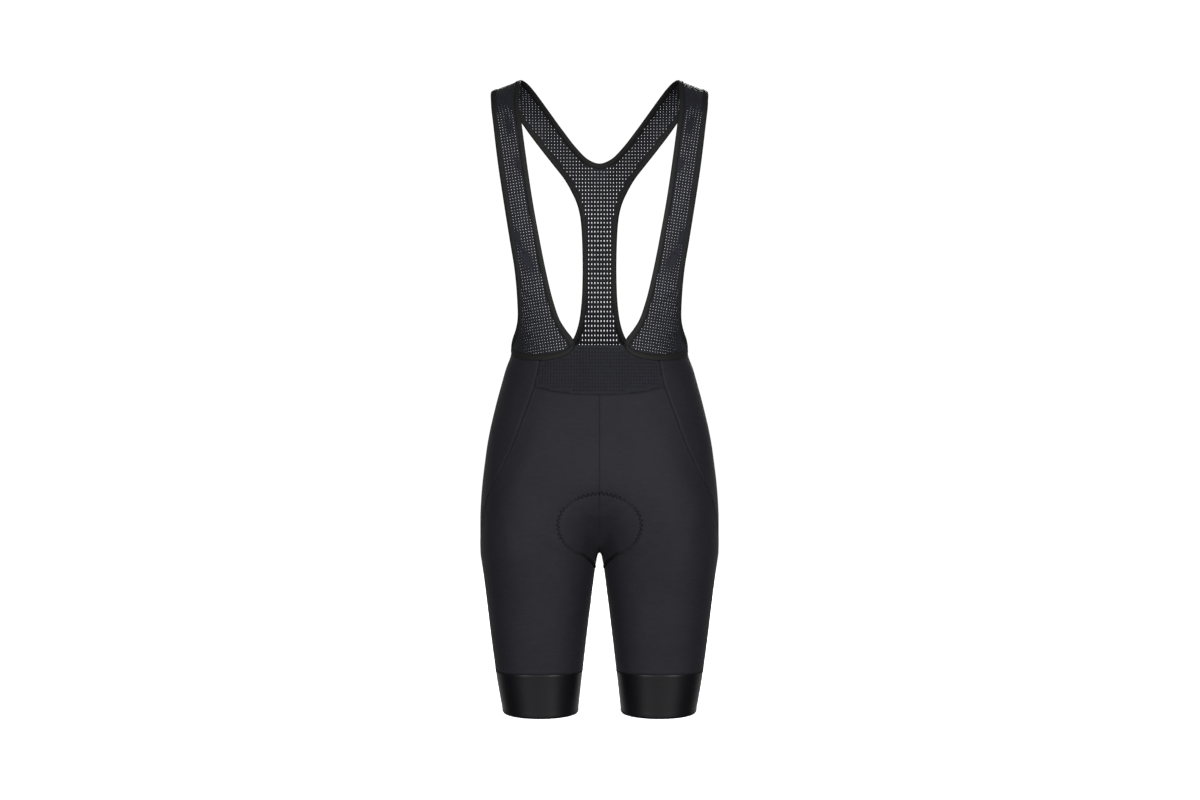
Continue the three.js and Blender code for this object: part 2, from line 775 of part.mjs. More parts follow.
const flat = (place) => new THREE.Vector3(place.x, place.y, 0);
const footInner = shareOnSheet(footCorner.innerShare, footCorner.innerZ, "front");
const footOuter = shareOnSheet(footCorner.outerShare, footCorner.outerZ, "front");
const frontRows = frontStrap.toReversed().map((row) => ({
  inner: onSheet(row.inner, row.z, "front"),
  outer: onSheet(row.outer, row.z, "front"),
}));
const shoulderRow = frontRows.length;
const centreRow = shoulderRow + backStrap.length - 1;
const cornerRow = centreRow + backStem.length + 1;
const baseRow = cornerRow + yokeBase.length - 1;

const neckPlaces = [
  footInner,
  ...frontRows.map((row) => row.inner),
  ...backStrap.slice(1).map((row) => onSheet(row.neckX, row.neckZ, "back")),
];
const beyondCentre = neckPlaces[neckPlaces.length - 2].clone();
beyondCentre.x *= -1;
const neckLine = [...neckPlaces, beyondCentre].map(flat);

const armPlaces = [
  shareOnSheet(underarm.at(-3).share, underarm.at(-3).z, "front"),
  footOuter,
  ...frontRows.map((row) => row.outer),
  ...backStrap.slice(1).map((row) => onSheet(row.armX, row.armZ, "back")),
  ...backStem.map((row) => onSheet(row.armX, row.armZ, "back")),
  ...yokeBase.map((row) => shareOnSheet(row.armShare, row.armZ, "back")),
  shareOnSheet(underarm[2].share, underarm[2].z, "back"),
];
const armLine = armPlaces.map(flat);

// A place beside a line of table rows: count along it and a distance to its left or right.
function besideLine(line, count, distance, turn) {
  const curve = new THREE.CatmullRomCurve3(line, false, "centripetal");
  const t = count / (line.length - 1);
  const place = curve.getPoint(t);
  const tangent = curve.getTangent(t);
  return new THREE.Vector2(place.x + turn * tangent.y * distance, place.y - turn * tangent.x * distance);
}

// Height of the shorts' top edge under a strap foot, as a place along the sheet.
function footLine(across) {
  let level = footCorner.innerZ;
  for (let pass = 0; pass < settlePasses; pass += 1) level = topAt(across / ringLength(level)) + seamGap;
  return alongProfile(level, "front");
}

function loweredToFoot(place, lastPlace, row) {
  const share = smoothStep(footCurveRows, 0, row);
  return new THREE.Vector2(place.x, place.y + share * (footLine(lastPlace.x) - lastPlace.y));
}

function neckEdge(row, distance) {
  const place = besideLine(neckLine, row, distance, 1);
  if (row === centreRow) place.x = 0;
  return loweredToFoot(place, besideLine(neckLine, 0, distance, 1), row);
}

const armEdge = (row, distance) => besideLine(armLine, row + 1, distance, -1);

const meshInset = bindingWidth + seamGap;

// Front straps: from the shoulder seam down to the curved foot

function frontStrapPlace(row, across) {
  const between = (at) => {
    const inner = besideLine(neckLine, at, meshInset, 1);
    return inner.lerp(armEdge(at, meshInset), across);
  };
  return loweredToFoot(between(row), between(0), row);
}

const strapColumns = 6;
const strapRowsPerRow = 2;
const shoulderGap = 0.008;
const strapCloth = patch(strapColumns, shoulderRow * strapRowsPerRow, (u, v) => {
  const place = frontStrapPlace(mix(shoulderRow - shoulderGap, 0, v), u);
  return [sheet(place, 0), sheet(place, meshCloth)];
});
addPair("front_strap", strapCloth, meshMaterial);

// Back yoke: both back straps, the stem and the flared base in one piece

function yokeInnerPlace(row) {
  if (row <= centreRow) return neckEdge(row, meshInset);
  const middles = [neckEdge(centreRow, meshInset).y];
  for (const { middleZ } of backStem) middles.push(alongProfile(middleZ, "back"));
  middles.push(alongProfile(topAt(1) + seamGap, "back"));
  if (row <= cornerRow) {
    const count = Math.min(Math.floor(row - centreRow), middles.length - 2);
    return new THREE.Vector2(0, mix(middles[count], middles[count + 1], row - centreRow - count));
  }
  const count = Math.min(Math.floor(row - cornerRow), yokeBase.length - 2);
  const share = mix(yokeBase[count].seamShare, yokeBase[count + 1].seamShare, row - cornerRow - count);
  return shareOnSheet(share, topAt(share) + seamGap, "back");
}

const yokeColumns = 4;
const yokeRowsPerRow = 2;
const yokeStart = shoulderRow + shoulderGap;
const yokeRows = [];
for (let step = 0; step <= (baseRow - shoulderRow) * yokeRowsPerRow; step += 1) {
  yokeRows.push(Math.max(shoulderRow + step / yokeRowsPerRow, yokeStart));
}
const yokeHalf = patch(yokeColumns, yokeRows.length - 1, (u, v, i, j) => {
  const place = yokeInnerPlace(yokeRows[j]).lerp(armEdge(yokeRows[j], meshInset), u);
  return [sheet(place, 0), sheet(place, meshCloth)];
});
addPiece("back_yoke", sewn(yokeHalf, mirrored(yokeHalf)), meshMaterial);

// Bindings: folded elastic along the free edges

function binding(stations) {
  return patch(1, stations.length - 1, (u, v, i, j) => {
    const side = i === 0 ? stations[j].edge : stations[j].inside;
    return [side(-bindingProud), side(bindingBelow)];
  });
}

function sheetStation(edgeAt, row) {
  const edge = edgeAt(row, 0);
  const inside = edgeAt(row, bindingWidth);
  return { edge: (depth) => sheet(edge, depth), inside: (depth) => sheet(inside, depth) };
}

const bindingStep = 0.5;
const neckStations = [];
for (let row = 0; row <= centreRow; row += bindingStep) neckStations.push(sheetStation(neckEdge, row));
const neckHalf = binding(neckStations);
addPiece("neck_binding", sewn(neckHalf, mirrored(neckHalf)), bindingMaterial);

const underarmLength = ringLength(underarmLevel);
const underarmLine = underarm.map(({ share, z }) => new THREE.Vector3(share * underarmLength, z, 0));

function underarmStation(count) {
  const edge = besideLine(underarmLine, count, 0, -1);
  const inside = besideLine(underarmLine, count, bindingWidth, -1);
  return {
    edge: (depth) => skin(edge.y, edge.x / underarmLength, depth),
    inside: (depth) => skin(inside.y, inside.x / underarmLength, depth),
  };
}

const armStations = [];
for (let row = 0; row <= baseRow; row += bindingStep) armStations.push(sheetStation(armEdge, row));
for (let count = 1 + bindingStep; count < underarm.length - 2; count += bindingStep) {
  armStations.push(underarmStation(count));
}
armStations.push(armStations[0]);
addPair("arm_binding", sewn(binding(armStations)), bindingMaterial);

// Foot bindings: a curved elastic laid over the seam between each strap foot and the shorts

const footBinding = { from: 0.13, to: 0.44, steps: 18 };
const footBindingHalf = patch(1, footBinding.steps, (u, v) => {
  const share = mix(footBinding.from, footBinding.to, v);
  const level = topAt(share) + mix(footBindingWidth / 2, -footBindingWidth / 2, u);
  return [skin(level, share, -laidOn - footBindingCloth), skin(level, share, -laidOn)];
});
addPair("foot_binding", footBindingHalf, bindingMaterial);

export default bibShorts;
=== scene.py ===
# Cycling bib shorts, filled out as if worn and held up at the shoulders. Metres; +X is the
# wearer's left, -Y the front and +Z up, with the origin between the tops of the two straps.

import math

import bpy
import numpy as np
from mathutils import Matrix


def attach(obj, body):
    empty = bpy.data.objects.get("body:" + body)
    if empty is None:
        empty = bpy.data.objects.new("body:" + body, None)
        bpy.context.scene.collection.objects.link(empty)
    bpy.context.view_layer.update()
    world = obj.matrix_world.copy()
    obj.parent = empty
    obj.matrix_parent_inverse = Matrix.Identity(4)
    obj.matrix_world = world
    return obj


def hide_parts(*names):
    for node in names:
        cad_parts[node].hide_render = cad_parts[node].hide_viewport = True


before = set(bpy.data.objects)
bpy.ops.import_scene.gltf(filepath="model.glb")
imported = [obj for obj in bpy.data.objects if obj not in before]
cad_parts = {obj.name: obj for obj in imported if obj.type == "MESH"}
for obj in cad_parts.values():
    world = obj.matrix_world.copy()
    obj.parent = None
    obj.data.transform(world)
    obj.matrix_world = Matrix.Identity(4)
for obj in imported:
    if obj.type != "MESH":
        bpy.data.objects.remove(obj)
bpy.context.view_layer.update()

# Front leg panels: the left and right leg fronts, in matte warp-knit stretch cloth, sewn together
# at the centre front. They are cut flat and take their curves from the body that fills them: two
# leg tubes that run together above the crotch.

panel_thickness = 0.0015
crotch_level = -0.640
level_rings_level = -0.540
level_legs_level = -0.720
legs_touch_level = -0.671
below_crotch_level = -0.700
even_rows_level = -0.470
gripper_level = -0.838
hem_level = -0.8975
hem_dip = 0.003

# Height, half-width, split into two legs, depth ahead of and behind the side line
body_rows = [
    (0.000, 0.2050, 0.000, 0.0840, 0.078),
    (-0.100, 0.1950, 0.000, 0.0840, 0.078),
    (-0.200, 0.1760, 0.000, 0.0910, 0.082),
    (-0.300, 0.1470, 0.000, 0.0910, 0.079),
    (-0.345, 0.1320, 0.000, 0.0890, 0.080),
    (-0.383, 0.1245, 0.000, 0.0880, 0.084),
    (-0.412, 0.1330, 0.000, 0.0920, 0.090),
    (-0.454, 0.1450, 0.000, 0.0970, 0.099),
    (-0.497, 0.1550, 0.000, 0.1000, 0.110),
    (-0.521, 0.1595, 0.000, 0.1010, 0.116),
    (-0.546, 0.1630, 0.120, 0.1010, 0.120),
    (-0.571, 0.1660, 0.320, 0.1000, 0.122),
    (-0.596, 0.1680, 0.550, 0.0980, 0.121),
    (-0.621, 0.1690, 0.770, 0.0960, 0.117),
    (-0.646, 0.1690, 0.930, 0.0930, 0.111),
    (-0.671, 0.1685, 1.043, 0.0900, 0.104),
    (-0.682, 0.1670, 1.062, 0.0885, 0.101),
    (-0.738, 0.1600, 1.162, 0.0800, 0.086),
    (-0.795, 0.1530, 1.284, 0.0720, 0.075),
    (-0.852, 0.1450, 1.427, 0.0640, 0.066),
    (-0.912, 0.1340, 1.620, 0.0570, 0.060),
]

# Share of the way round from centre front to centre back, the shorts' top edge and the seam
# under the waist insert
waist_rows = [
    (0.000, -0.3780, -0.4475),
    (0.098, -0.3780, -0.4460),
    (0.128, -0.3868, -0.4448),
    (0.165, -0.3918, -0.4430),
    (0.235, -0.3952, -0.4370),
    (0.300, -0.3946, -0.4352),
    (0.360, -0.3922, -0.4340),
    (0.430, -0.3880, -0.4360),
    (0.475, -0.3848, -0.4370),
    (0.504, -0.3872, -0.4380),
    (0.560, -0.3945, -0.4410),
    (0.620, -0.4014, -0.4450),
    (0.680, -0.4044, -0.4480),
    (0.720, -0.4090, -0.4500),
    (0.800, -0.4160, -0.4530),
    (0.900, -0.4300, -0.4560),
    (1.000, -0.4380, -0.4580),
]

# Level, and how far round the cloth the side panel's seams lie ahead of and behind the side line
side_seam_rows = [
    (-0.370, 0.080, 0.066),
    (-0.434, 0.095, 0.074),
    (-0.493, 0.088, 0.082),
    (-0.552, 0.070, 0.085),
    (-0.588, 0.051, 0.083),
    (-0.624, 0.032, 0.079),
    (-0.670, 0.008, 0.072),
    (-0.720, -0.009, 0.065),
    (-0.850, -0.016, 0.050),
]

# The seam round the pad's thin flange: level, and distance ahead of or behind the midline
pad_seam_front = [
    (-0.5700, 0.000),
    (-0.5715, 0.014),
    (-0.5765, 0.034),
    (-0.5870, 0.053),
    (-0.6020, 0.066),
    (-0.6200, 0.072),
    (-0.6390, 0.069),
    (-0.6550, 0.056),
    (-0.6700, 0.036),
    (-0.6820, 0.017),
    (-0.6860, 0.000),
]
pad_seam_back = [
    (-0.6860, 0.000),
    (-0.6820, 0.020),
    (-0.6700, 0.044),
    (-0.6520, 0.066),
    (-0.6300, 0.082),
    (-0.6060, 0.091),
    (-0.5800, 0.090),
    (-0.5600, 0.076),
    (-0.5480, 0.046),
    (-0.5450, 0.020),
    (-0.5445, 0.000),
]


def mix(start, end, t):
    return start + (end - start) * t


def smooth_step(start, end, x):
    t = np.clip((x - start) / (end - start), 0, 1)
    return t * t * (3 - 2 * t)


def smooth_columns(rows):
    """Smooth curves through a table's other columns, which never swing past its rows."""
    table = np.array(sorted(rows))
    places = table[:, 0]
    widths = np.diff(places)

    def curve(values):
        slopes = np.diff(values) / widths
        both = slopes[:-1] * slopes[1:]
        total = np.where(both > 0, slopes[:-1] + slopes[1:], 1)
        inner = np.where(both > 0, 2 * both / total, 0)
        tangents = np.concatenate([slopes[:1], inner, slopes[-1:]])

        def at(x):
            i = np.clip(np.searchsorted(places, x) - 1, 0, len(widths) - 1)
            t = np.clip((x - places[i]) / widths[i], 0, 1)
            rest = 1 - t
            ends = values[i] * (1 + 2 * t) * rest**2 + values[i + 1] * t**2 * (3 - 2 * t)
            return ends + widths[i] * (tangents[i] * t * rest**2 - tangents[i + 1] * t**2 * rest)

        return at

    return [curve(column) for column in table[:, 1:].T]


half_width_at, split_at, ahead_at, behind_at = smooth_columns(body_rows)
top_at, insert_seam_at = smooth_columns(waist_rows)
seam_ahead_at, seam_behind_at = smooth_columns(side_seam_rows)

section_roundness = 2.2
crotch_blend = 0.014
blend_per_rise = 0.5
front_blend_limit = 0.6
back_blend_scale = 1.6
back_blend_depth = 0.060
smallest_blend = 1e-9


def body_distance(x, y, z):
    """How far a point lies outside the body that fills the shorts."""
    side = half_width_at(z)
    split = split_at(z)
    leg_width = side / (1 + split)
    axis = leg_width * split
    along = (np.abs(y) / np.where(y < 0, ahead_at(z), behind_at(z))) ** section_roundness

    def tube(sideways):
        across = (np.abs(sideways - axis) / leg_width) ** section_roundness
        return ((across + along) ** (1 / section_roundness) - 1) * leg_width

    own = tube(x)
    other = tube(-x)
    opened = crotch_blend + blend_per_rise * np.maximum(z - legs_touch_level, 0)
    front_blend = np.maximum(np.minimum(opened, front_blend_limit * axis), smallest_blend)
    back_blend = np.maximum(np.minimum(back_blend_scale * opened, axis), smallest_blend)
    blend = mix(front_blend, back_blend, smooth_step(0, back_blend_depth, y))
    overlap = np.maximum(blend - np.abs(own - other), 0) / blend
    return np.minimum(own, other) - overlap**2 * blend / 4


halvings = 26


def surface_along(distance_at, limit):
    """How far it is along a line to the body's surface, by halving the gap again and again."""
    inside = np.zeros_like(limit)
    outside = limit
    for _ in range(halvings):
        middle = (inside + outside) / 2
        within = distance_at(middle) < 0
        inside = np.where(within, middle, inside)
        outside = np.where(within, outside, middle)
    return inside


crotch_height = below_crotch_level + float(
    surface_along(
        lambda rise: -body_distance(0.0, 0.0, below_crotch_level + rise),
        np.array(crotch_level - below_crotch_level),
    )
)


def midline_height(level):
    """Rings dip towards the midline near the crotch, so that they meet at the inseam."""
    rise = level_rings_level - crotch_height
    span = level_rings_level - crotch_level
    bend = 3 - span / rise
    t = (level - crotch_level) / span
    above = crotch_height + rise * (bend * t**2 + (1 - bend) * t**3)
    down = (level - level_legs_level) / (crotch_level - level_legs_level)
    below = level + (crotch_height - crotch_level) * down**2
    near = np.where(level >= crotch_level, above, below)
    return np.where((level >= level_rings_level) | (level <= level_legs_level), level, near)


def ring_height(level, x):
    outward_share = np.minimum(np.abs(x) / half_width_at(level), 1)
    return level + (midline_height(level) - level) * (1 - outward_share**2) ** 2


ring_step = 0.004
ring_samples = 240
far_outside = 0.260
hip_ring_axis = 0.060
ring_numbers = np.arange(-70, 67)
ring_levels = crotch_level - ring_numbers * ring_step


def traced_rings():
    """Rings round the left half of the shorts, one for each level: open ones from the centre front
    to the centre back above the crotch, closed ones round the leg below it."""
    level = ring_levels[:, None]
    closed = ring_numbers[:, None] >= 0
    tube_level = np.minimum(level, crotch_level)
    split = split_at(tube_level)
    leg_axis = half_width_at(tube_level) * split / (1 + split)
    hip_axis = mix(leg_axis, hip_ring_axis, smooth_step(crotch_level, level_rings_level, level))
    axis = np.where(closed, leg_axis, hip_axis)
    middle = midline_height(level)
    far = np.full(level.shape, far_outside)
    front = np.where(closed, 0, surface_along(lambda r: body_distance(0.0, -r, middle), far))
    back = np.where(closed, 0, surface_along(lambda r: body_distance(0.0, r, middle), far))
    start = np.where(closed, -math.pi, np.arctan2(-front, -axis))
    end = np.where(closed, math.pi, np.arctan2(back, -axis))
    angle = mix(start, end, np.linspace(0, 1, ring_samples + 1))
    cos = np.cos(angle)
    sin = np.sin(angle)
    to_midline = -axis / np.where(cos < 0, cos, -1)
    limit = np.where(cos < 0, np.minimum(to_midline, far_outside), far_outside)

    def distance(r):
        return body_distance(axis + r * cos, r * sin, ring_height(level, axis + r * cos))

    reach = surface_along(distance, limit)
    x = np.maximum(axis + reach * cos, 0)
    dip = hem_dip * smooth_step(gripper_level, hem_level, level)
    height = ring_height(level, x) - dip * np.maximum(-sin, 0) ** 2
    points = np.stack([x, reach * sin, height], axis=-1)
    opened = ring_numbers <= 0
    points[opened, 0] = np.hstack([0 * front, -front, middle])[opened]
    points[opened, -1] = np.hstack([0 * back, back, middle])[opened]
    points[~opened, -1] = points[~opened, 0]
    return points


def run_along(points):
    """Distance from the first point of a line to each of its points."""
    steps = np.linalg.norm(np.diff(points, axis=0), axis=1)
    return np.concatenate([[0], np.cumsum(steps)])


def evenly_spaced(points, count):
    run = run_along(points)
    even = np.linspace(0, run[-1], count)
    return np.stack([np.interp(even, run, column) for column in points.T], axis=1)


side_slack = 0.001
rings = []
ring_lengths = []
side_shares = []
for traced in traced_rings():
    ring = evenly_spaced(traced, ring_samples + 1)
    ring_lengths.append(run_along(traced)[-1])
    at_side = 1 + int(np.argmax((ring[1:, 1] >= 0) & (np.diff(ring[:, 0]) > -side_slack)))
    past_side = ring[at_side, 1] / (ring[at_side, 1] - ring[at_side - 1, 1])
    side_shares.append((at_side - past_side) / ring_samples)
    rings.append(ring)
rings = np.array(rings)


def ring_length(level):
    return np.interp(-level, -ring_levels, ring_lengths)


def front_seam_at(level):
    return np.interp(-level, -ring_levels, side_shares) - seam_ahead_at(level) / ring_length(level)


def outward(points):
    """The direction straight out of the cloth at points on it."""
    step = 0.0002
    slopes = []
    for shift in step * np.eye(3):
        slopes.append(body_distance(*(points + shift).T) - body_distance(*(points - shift).T))
    slope = np.stack(slopes, axis=-1)
    return slope / np.linalg.norm(slope, axis=-1, keepdims=True)


rounding_slack = 1e-9


def skin(level, share, depth=0.0):
    """Points of the shorts by level and share of the ring. A share past an end goes on over the
    midline, or round the leg below the crotch."""
    level, share, depth = np.broadcast_arrays(level, share, depth)
    above = level >= crotch_level
    over_midline = above & ((share < 0) | (share > 1))
    folded = np.where(share < 0, -share, np.where(share > 1, 2 - share, share))
    share = np.where(above, folded, np.where((share < 0) | (share > 1), share % 1, share))
    place = (crotch_level - level) / ring_step - ring_numbers[0]
    row = np.clip(np.floor(place + rounding_slack).astype(int), 0, len(ring_numbers) - 2)
    across = share * ring_samples
    column = np.clip(across.astype(int), 0, ring_samples - 1)
    down = (place - row)[..., None]
    along = (across - column)[..., None]
    upper = mix(rings[row, column], rings[row, column + 1], along)
    lower = mix(rings[row + 1, column], rings[row + 1, column + 1], along)
    points = mix(upper, lower, down)
    flat_points = points.reshape(-1, 3)
    points = points - depth[..., None] * outward(flat_points).reshape(points.shape)
    return points * np.where(over_midline[..., None], (-1, 1, 1), 1)


def grid_faces(rows, columns):
    corner = (np.arange(rows - 1)[:, None] * columns + np.arange(columns - 1)).ravel()
    return np.stack([corner, corner + columns, corner + columns + 1, corner + 1], axis=1)


def mirrored(patch):
    outer, inner, faces, places = patch
    return outer * (-1, 1, 1), inner * (-1, 1, 1), faces[:, ::-1], places * (-1, 1)


def add_mesh(name, points, faces, places, finish):
    """A mesh whose UV map holds each corner's place on the flat cloth, in metres."""
    mesh = bpy.data.meshes.new(name)
    mesh.from_pydata(points.tolist(), [], faces)
    mesh.uv_layers.new(name="cloth").data.foreach_set("uv", np.asarray(places, float).ravel())
    mesh.shade_smooth()
    mesh.materials.append(finish)
    piece = bpy.data.objects.new(name, mesh)
    bpy.context.collection.objects.link(piece)
    return piece


weld_distance = 2e-6


def sewn(name, patches, finish):
    """Patches of cloth sewn edge to edge into one piece with an outer and an inner face, closed
    along every free edge and round every hole."""
    outer = np.concatenate([patch[0] for patch in patches])
    inner = np.concatenate([patch[1] for patch in patches])
    places = np.concatenate([patch[3] for patch in patches])
    starts = np.cumsum([0] + [len(patch[0]) for patch in patches])
    faces = np.concatenate([patch[2] + start for patch, start in zip(patches, starts)])
    spots = np.round(outer / weld_distance).astype(int)
    _, first, weld = np.unique(spots, axis=0, return_index=True, return_inverse=True)
    weld = weld.ravel()
    count = len(first)
    welded = weld[faces]
    tail = welded.ravel()
    head = np.roll(welded, -1, axis=1).ravel()
    tail_place = faces.ravel()
    head_place = np.roll(faces, -1, axis=1).ravel()
    free = ~np.isin(head * count + tail, tail * count + head) & (head != tail)
    all_faces = []
    all_places = []
    for corners, own in zip(welded.tolist(), faces.tolist()):
        kept = [k for k in range(4) if corners[k] != corners[k - 1]]
        if len(set(corners[k] for k in kept)) < 3:
            continue
        all_faces.append([corners[k] for k in kept])
        all_faces.append([corners[k] + count for k in reversed(kept)])
        all_places.extend(own[k] for k in kept)
        all_places.extend(own[k] for k in reversed(kept))
    for a, b, at_a, at_b in zip(
        tail[free].tolist(), head[free].tolist(), tail_place[free], head_place[free]
    ):
        all_faces.append([b, a, a + count, b + count])
        all_places.extend([at_b, at_a, at_a, at_b])
    points = np.concatenate([outer[first], inner[first]])
    return add_mesh(name, points, all_faces, places[all_places], finish)


edge_steps = np.array([0.0, 0.0007, 0.0014, 0.0023, 0.0035])


def graded(length, count):
    """Places across cloth of each length, closer together beside its two edges."""
    length = np.asarray(length, float)[..., None]
    last = edge_steps[-1]
    inner = mix(last, length - last, np.linspace(0, 1, count))
    near = np.broadcast_to(edge_steps[:-1], length.shape[:-1] + (len(edge_steps) - 1,))
    return np.concatenate([near, inner, length - near[..., ::-1]], axis=-1)


def hump(distance, width):
    """1 on a line, and falling softly to 0 on both sides of it."""
    return np.exp(-((distance / width) ** 2))


seam_dip = 0.0003
seam_dip_width = 0.0011
seam_ridge = 0.0003
seam_ridge_place = 0.0034
seam_ridge_width = 0.0016


def seam_roll(distance):
    """How far the cloth dips at a seam, with a soft ridge beside it."""
    ridge = seam_ridge * hump(distance - seam_ridge_place, seam_ridge_width)
    return seam_dip * hump(distance, seam_dip_width) - ridge


def smooth_line(points):
    """A curve through points, by count along them, that doesn't swing out between them."""
    points = np.asarray(points, float)
    longer = np.vstack([2 * points[0] - points[1], points, 2 * points[-1] - points[-2]])

    def at(counts):
        counts = np.asarray(counts, float)
        i = np.clip(np.floor(counts).astype(int), 0, len(points) - 2)
        t = (counts - i)[..., None]
        before, start, end, after = (longer[i + k] for k in range(4))
        gaps = [
            np.sum((b - a) ** 2, axis=-1, keepdims=True) ** 0.25
            for a, b in ((before, start), (start, end), (end, after))
        ]
        into = (start - before) / gaps[0] - (end - before) / (gaps[0] + gaps[1])
        into = (into + (end - start) / gaps[1]) * gaps[1]
        out = (end - start) / gaps[1] - (after - start) / (gaps[1] + gaps[2])
        out = (out + (after - end) / gaps[2]) * gaps[1]
        bend = 3 * (end - start) - 2 * into - out
        return start + into * t + bend * t**2 + (2 * (start - end) + into + out) * t**3

    return at


def pad_edge():
    """Points along the seam round the pad, from the centre front under the inseam to the back."""
    counts = np.linspace(0, len(pad_seam_front) - 1, 120)
    front_level, front_reach = smooth_line(pad_seam_front)(counts).T
    back_level, back_reach = smooth_line(pad_seam_back)(counts).T
    front = skin(front_level, front_reach / ring_length(front_level))
    back = skin(back_level, 1 - back_reach / ring_length(back_level))
    return np.concatenate([front, back[1:]])


pad_line = pad_edge()
pad_line_points = evenly_spaced(pad_line, 500)
pad_middle_level = -0.625
pad_pull_height = 0.11
pad_pull_depth = 0.0005
pad_pull_width = 0.0032


def pad_pull(points):
    """How far the stitching round the pad pulls the cloth in."""
    flat_points = points.reshape(-1, 3)
    nearest = np.full(len(flat_points), 1.0)
    near = np.flatnonzero(np.abs(flat_points[:, 2] - pad_middle_level) < pad_pull_height)
    for group in np.array_split(near, 20):
        gaps = np.linalg.norm(flat_points[group, None] - pad_line_points, axis=-1)
        nearest[group] = gaps.min(axis=1)
    return (pad_pull_depth * hump(nearest, pad_pull_width)).reshape(points.shape[:-1])


def crease_height(points, creases):
    """Height of listed creases: x, z, side of the body, slant, length, width and height."""
    height = np.zeros(points.shape[:-1])
    for x, z, side, slant, length, width, rise in creases:
        turn = math.radians(slant)
        right = points[..., 0] - x
        up = points[..., 2] - z
        along = right * math.cos(turn) + up * math.sin(turn)
        across = up * math.cos(turn) - right * math.sin(turn)
        facing = smooth_step(-0.02, 0.02, points[..., 1] * side)
        height += rise * facing * np.exp(-((along / length) ** 2) - (across / width) ** 2)
    return height


upper_height = 0.05
upper_row_count = 14
settling_rounds = 12
centre_press = 0.3
centre_press_reach = 0.012


def panel(top_edge_at, start_at, end_at, columns, rows, creases):
    """One panel between two seams, from its top edge down to the gripper. Its seams are pressed
    flatter at the centre front and centre back."""
    near_top = edge_steps / upper_height
    upper_rows = np.concatenate([near_top[:-1], np.linspace(near_top[-1], 1, upper_row_count)])
    lower = graded(even_rows_level - gripper_level, rows)
    lower_levels = even_rows_level - lower[lower > edge_steps[-1]]

    def levels_at(share):
        top = top_edge_at(share[: len(upper_rows)])
        upper = mix(top, even_rows_level, upper_rows[:, None])
        below = np.broadcast_to(lower_levels[:, None], (len(lower_levels), share.shape[1]))
        return np.concatenate([upper, below])

    def on_rows(seam_at):
        share = np.full((len(upper_rows) + len(lower_levels), 1), seam_at(even_rows_level))
        for _ in range(settling_rounds):
            share = seam_at(levels_at(share))
        return share

    start = on_rows(start_at)
    finish = on_rows(end_at)
    total = ring_length(levels_at((start + finish) / 2))
    width = (finish - start) * total
    across = graded(width[:, 0], columns)
    share = start + across / total
    level = levels_at(share)
    below_top = top_edge_at(share) - level
    edge = np.minimum.reduce([across, width - across, below_top, level - gripper_level])
    points = skin(level, share)
    from_centre = np.minimum(share, 1 - share) * total
    pressed = mix(centre_press, 1, smooth_step(0, centre_press_reach, from_centre))
    depth = pressed * seam_roll(edge) + pad_pull(points) - crease_height(points, creases)
    outer = skin(level, share, depth)
    inner = skin(level, share, depth + panel_thickness)
    places = np.stack([share * ring_length(level), level], axis=-1)
    faces = grid_faces(*level.shape)
    return outer.reshape(-1, 3), inner.reshape(-1, 3), faces, places.reshape(-1, 2)


def node(tree, kind, inputs=None, **settings):
    made = tree.nodes.new("ShaderNode" + kind)
    for name, value in settings.items():
        setattr(made, name, value)
    for name, value in (inputs or {}).items():
        if isinstance(value, bpy.types.NodeSocket):
            tree.links.new(value, made.inputs[name])
        else:
            made.inputs[name].default_value = value
    return made


def knit_cloth(name, colour, roughness, gloss, sheen, wale, course, relief, mottle):
    """Knit cloth: wales and courses in relief, with yarn that varies a little in colour."""
    material = bpy.data.materials.new(name)
    material.use_nodes = True
    tree = material.node_tree
    place = node(tree, "UVMap", uv_map="cloth").outputs["UV"]
    body = node(tree, "TexCoord").outputs["Object"]

    def waves(direction, pitch, distortion):
        settings = {"Vector": place, "Scale": math.pi / 10 / pitch, "Distortion": distortion}
        settings |= {"Detail": 1.0, "Detail Scale": 0.6}
        return node(tree, "TexWave", settings, bands_direction=direction).outputs["Fac"]

    courses = waves("Y", course, 1.2)
    wales = waves("X", wale, 1.0)
    loops = node(tree, "Math", {0: courses, 1: wales}, operation="MULTIPLY").outputs[0]
    stretched = node(tree, "Mapping", {"Vector": body, "Scale": (90, 90, 420)}).outputs["Vector"]
    streak_settings = {"Vector": stretched, "Scale": 1.0, "Detail": 3.0}
    streaks = node(tree, "TexNoise", streak_settings).outputs["Fac"]
    cloud_settings = {"Vector": body, "Scale": 16.0, "Detail": 4.0, "Roughness": 0.6}
    clouds = node(tree, "TexNoise", cloud_settings).outputs["Fac"]
    both = node(tree, "Math", {0: streaks, 1: clouds}, operation="ADD").outputs[0]
    half = node(tree, "Math", {0: both, 1: 0.5}, operation="MULTIPLY").outputs[0]
    ramp = node(tree, "ValToRGB", {"Fac": half})
    ramp.color_ramp.elements[0].position = 0.38
    ramp.color_ramp.elements[1].position = 0.62
    ramp.color_ramp.elements[0].color = (*(part * (1 - mottle) for part in colour), 1)
    ramp.color_ramp.elements[1].color = (*(part * (1 + mottle) for part in colour), 1)
    bump = node(tree, "Bump", {"Height": loops, "Distance": relief, "Strength": 0.6})
    surface = tree.nodes["Principled BSDF"]
    tree.links.new(ramp.outputs["Color"], surface.inputs["Base Color"])
    tree.links.new(bump.outputs["Normal"], surface.inputs["Normal"])
    surface.inputs["Roughness"].default_value = roughness
    surface.inputs["Specular IOR Level"].default_value = gloss
    surface.inputs["Sheen Weight"].default_value = sheen
    surface.inputs["Sheen Roughness"].default_value = 0.5
    return material


def dress(piece, slot, *nodes):
    """The piece rides on the garment and stands for its solids. Its slot is not used."""
    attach(piece, "root")
    if nodes:
        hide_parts(*nodes)


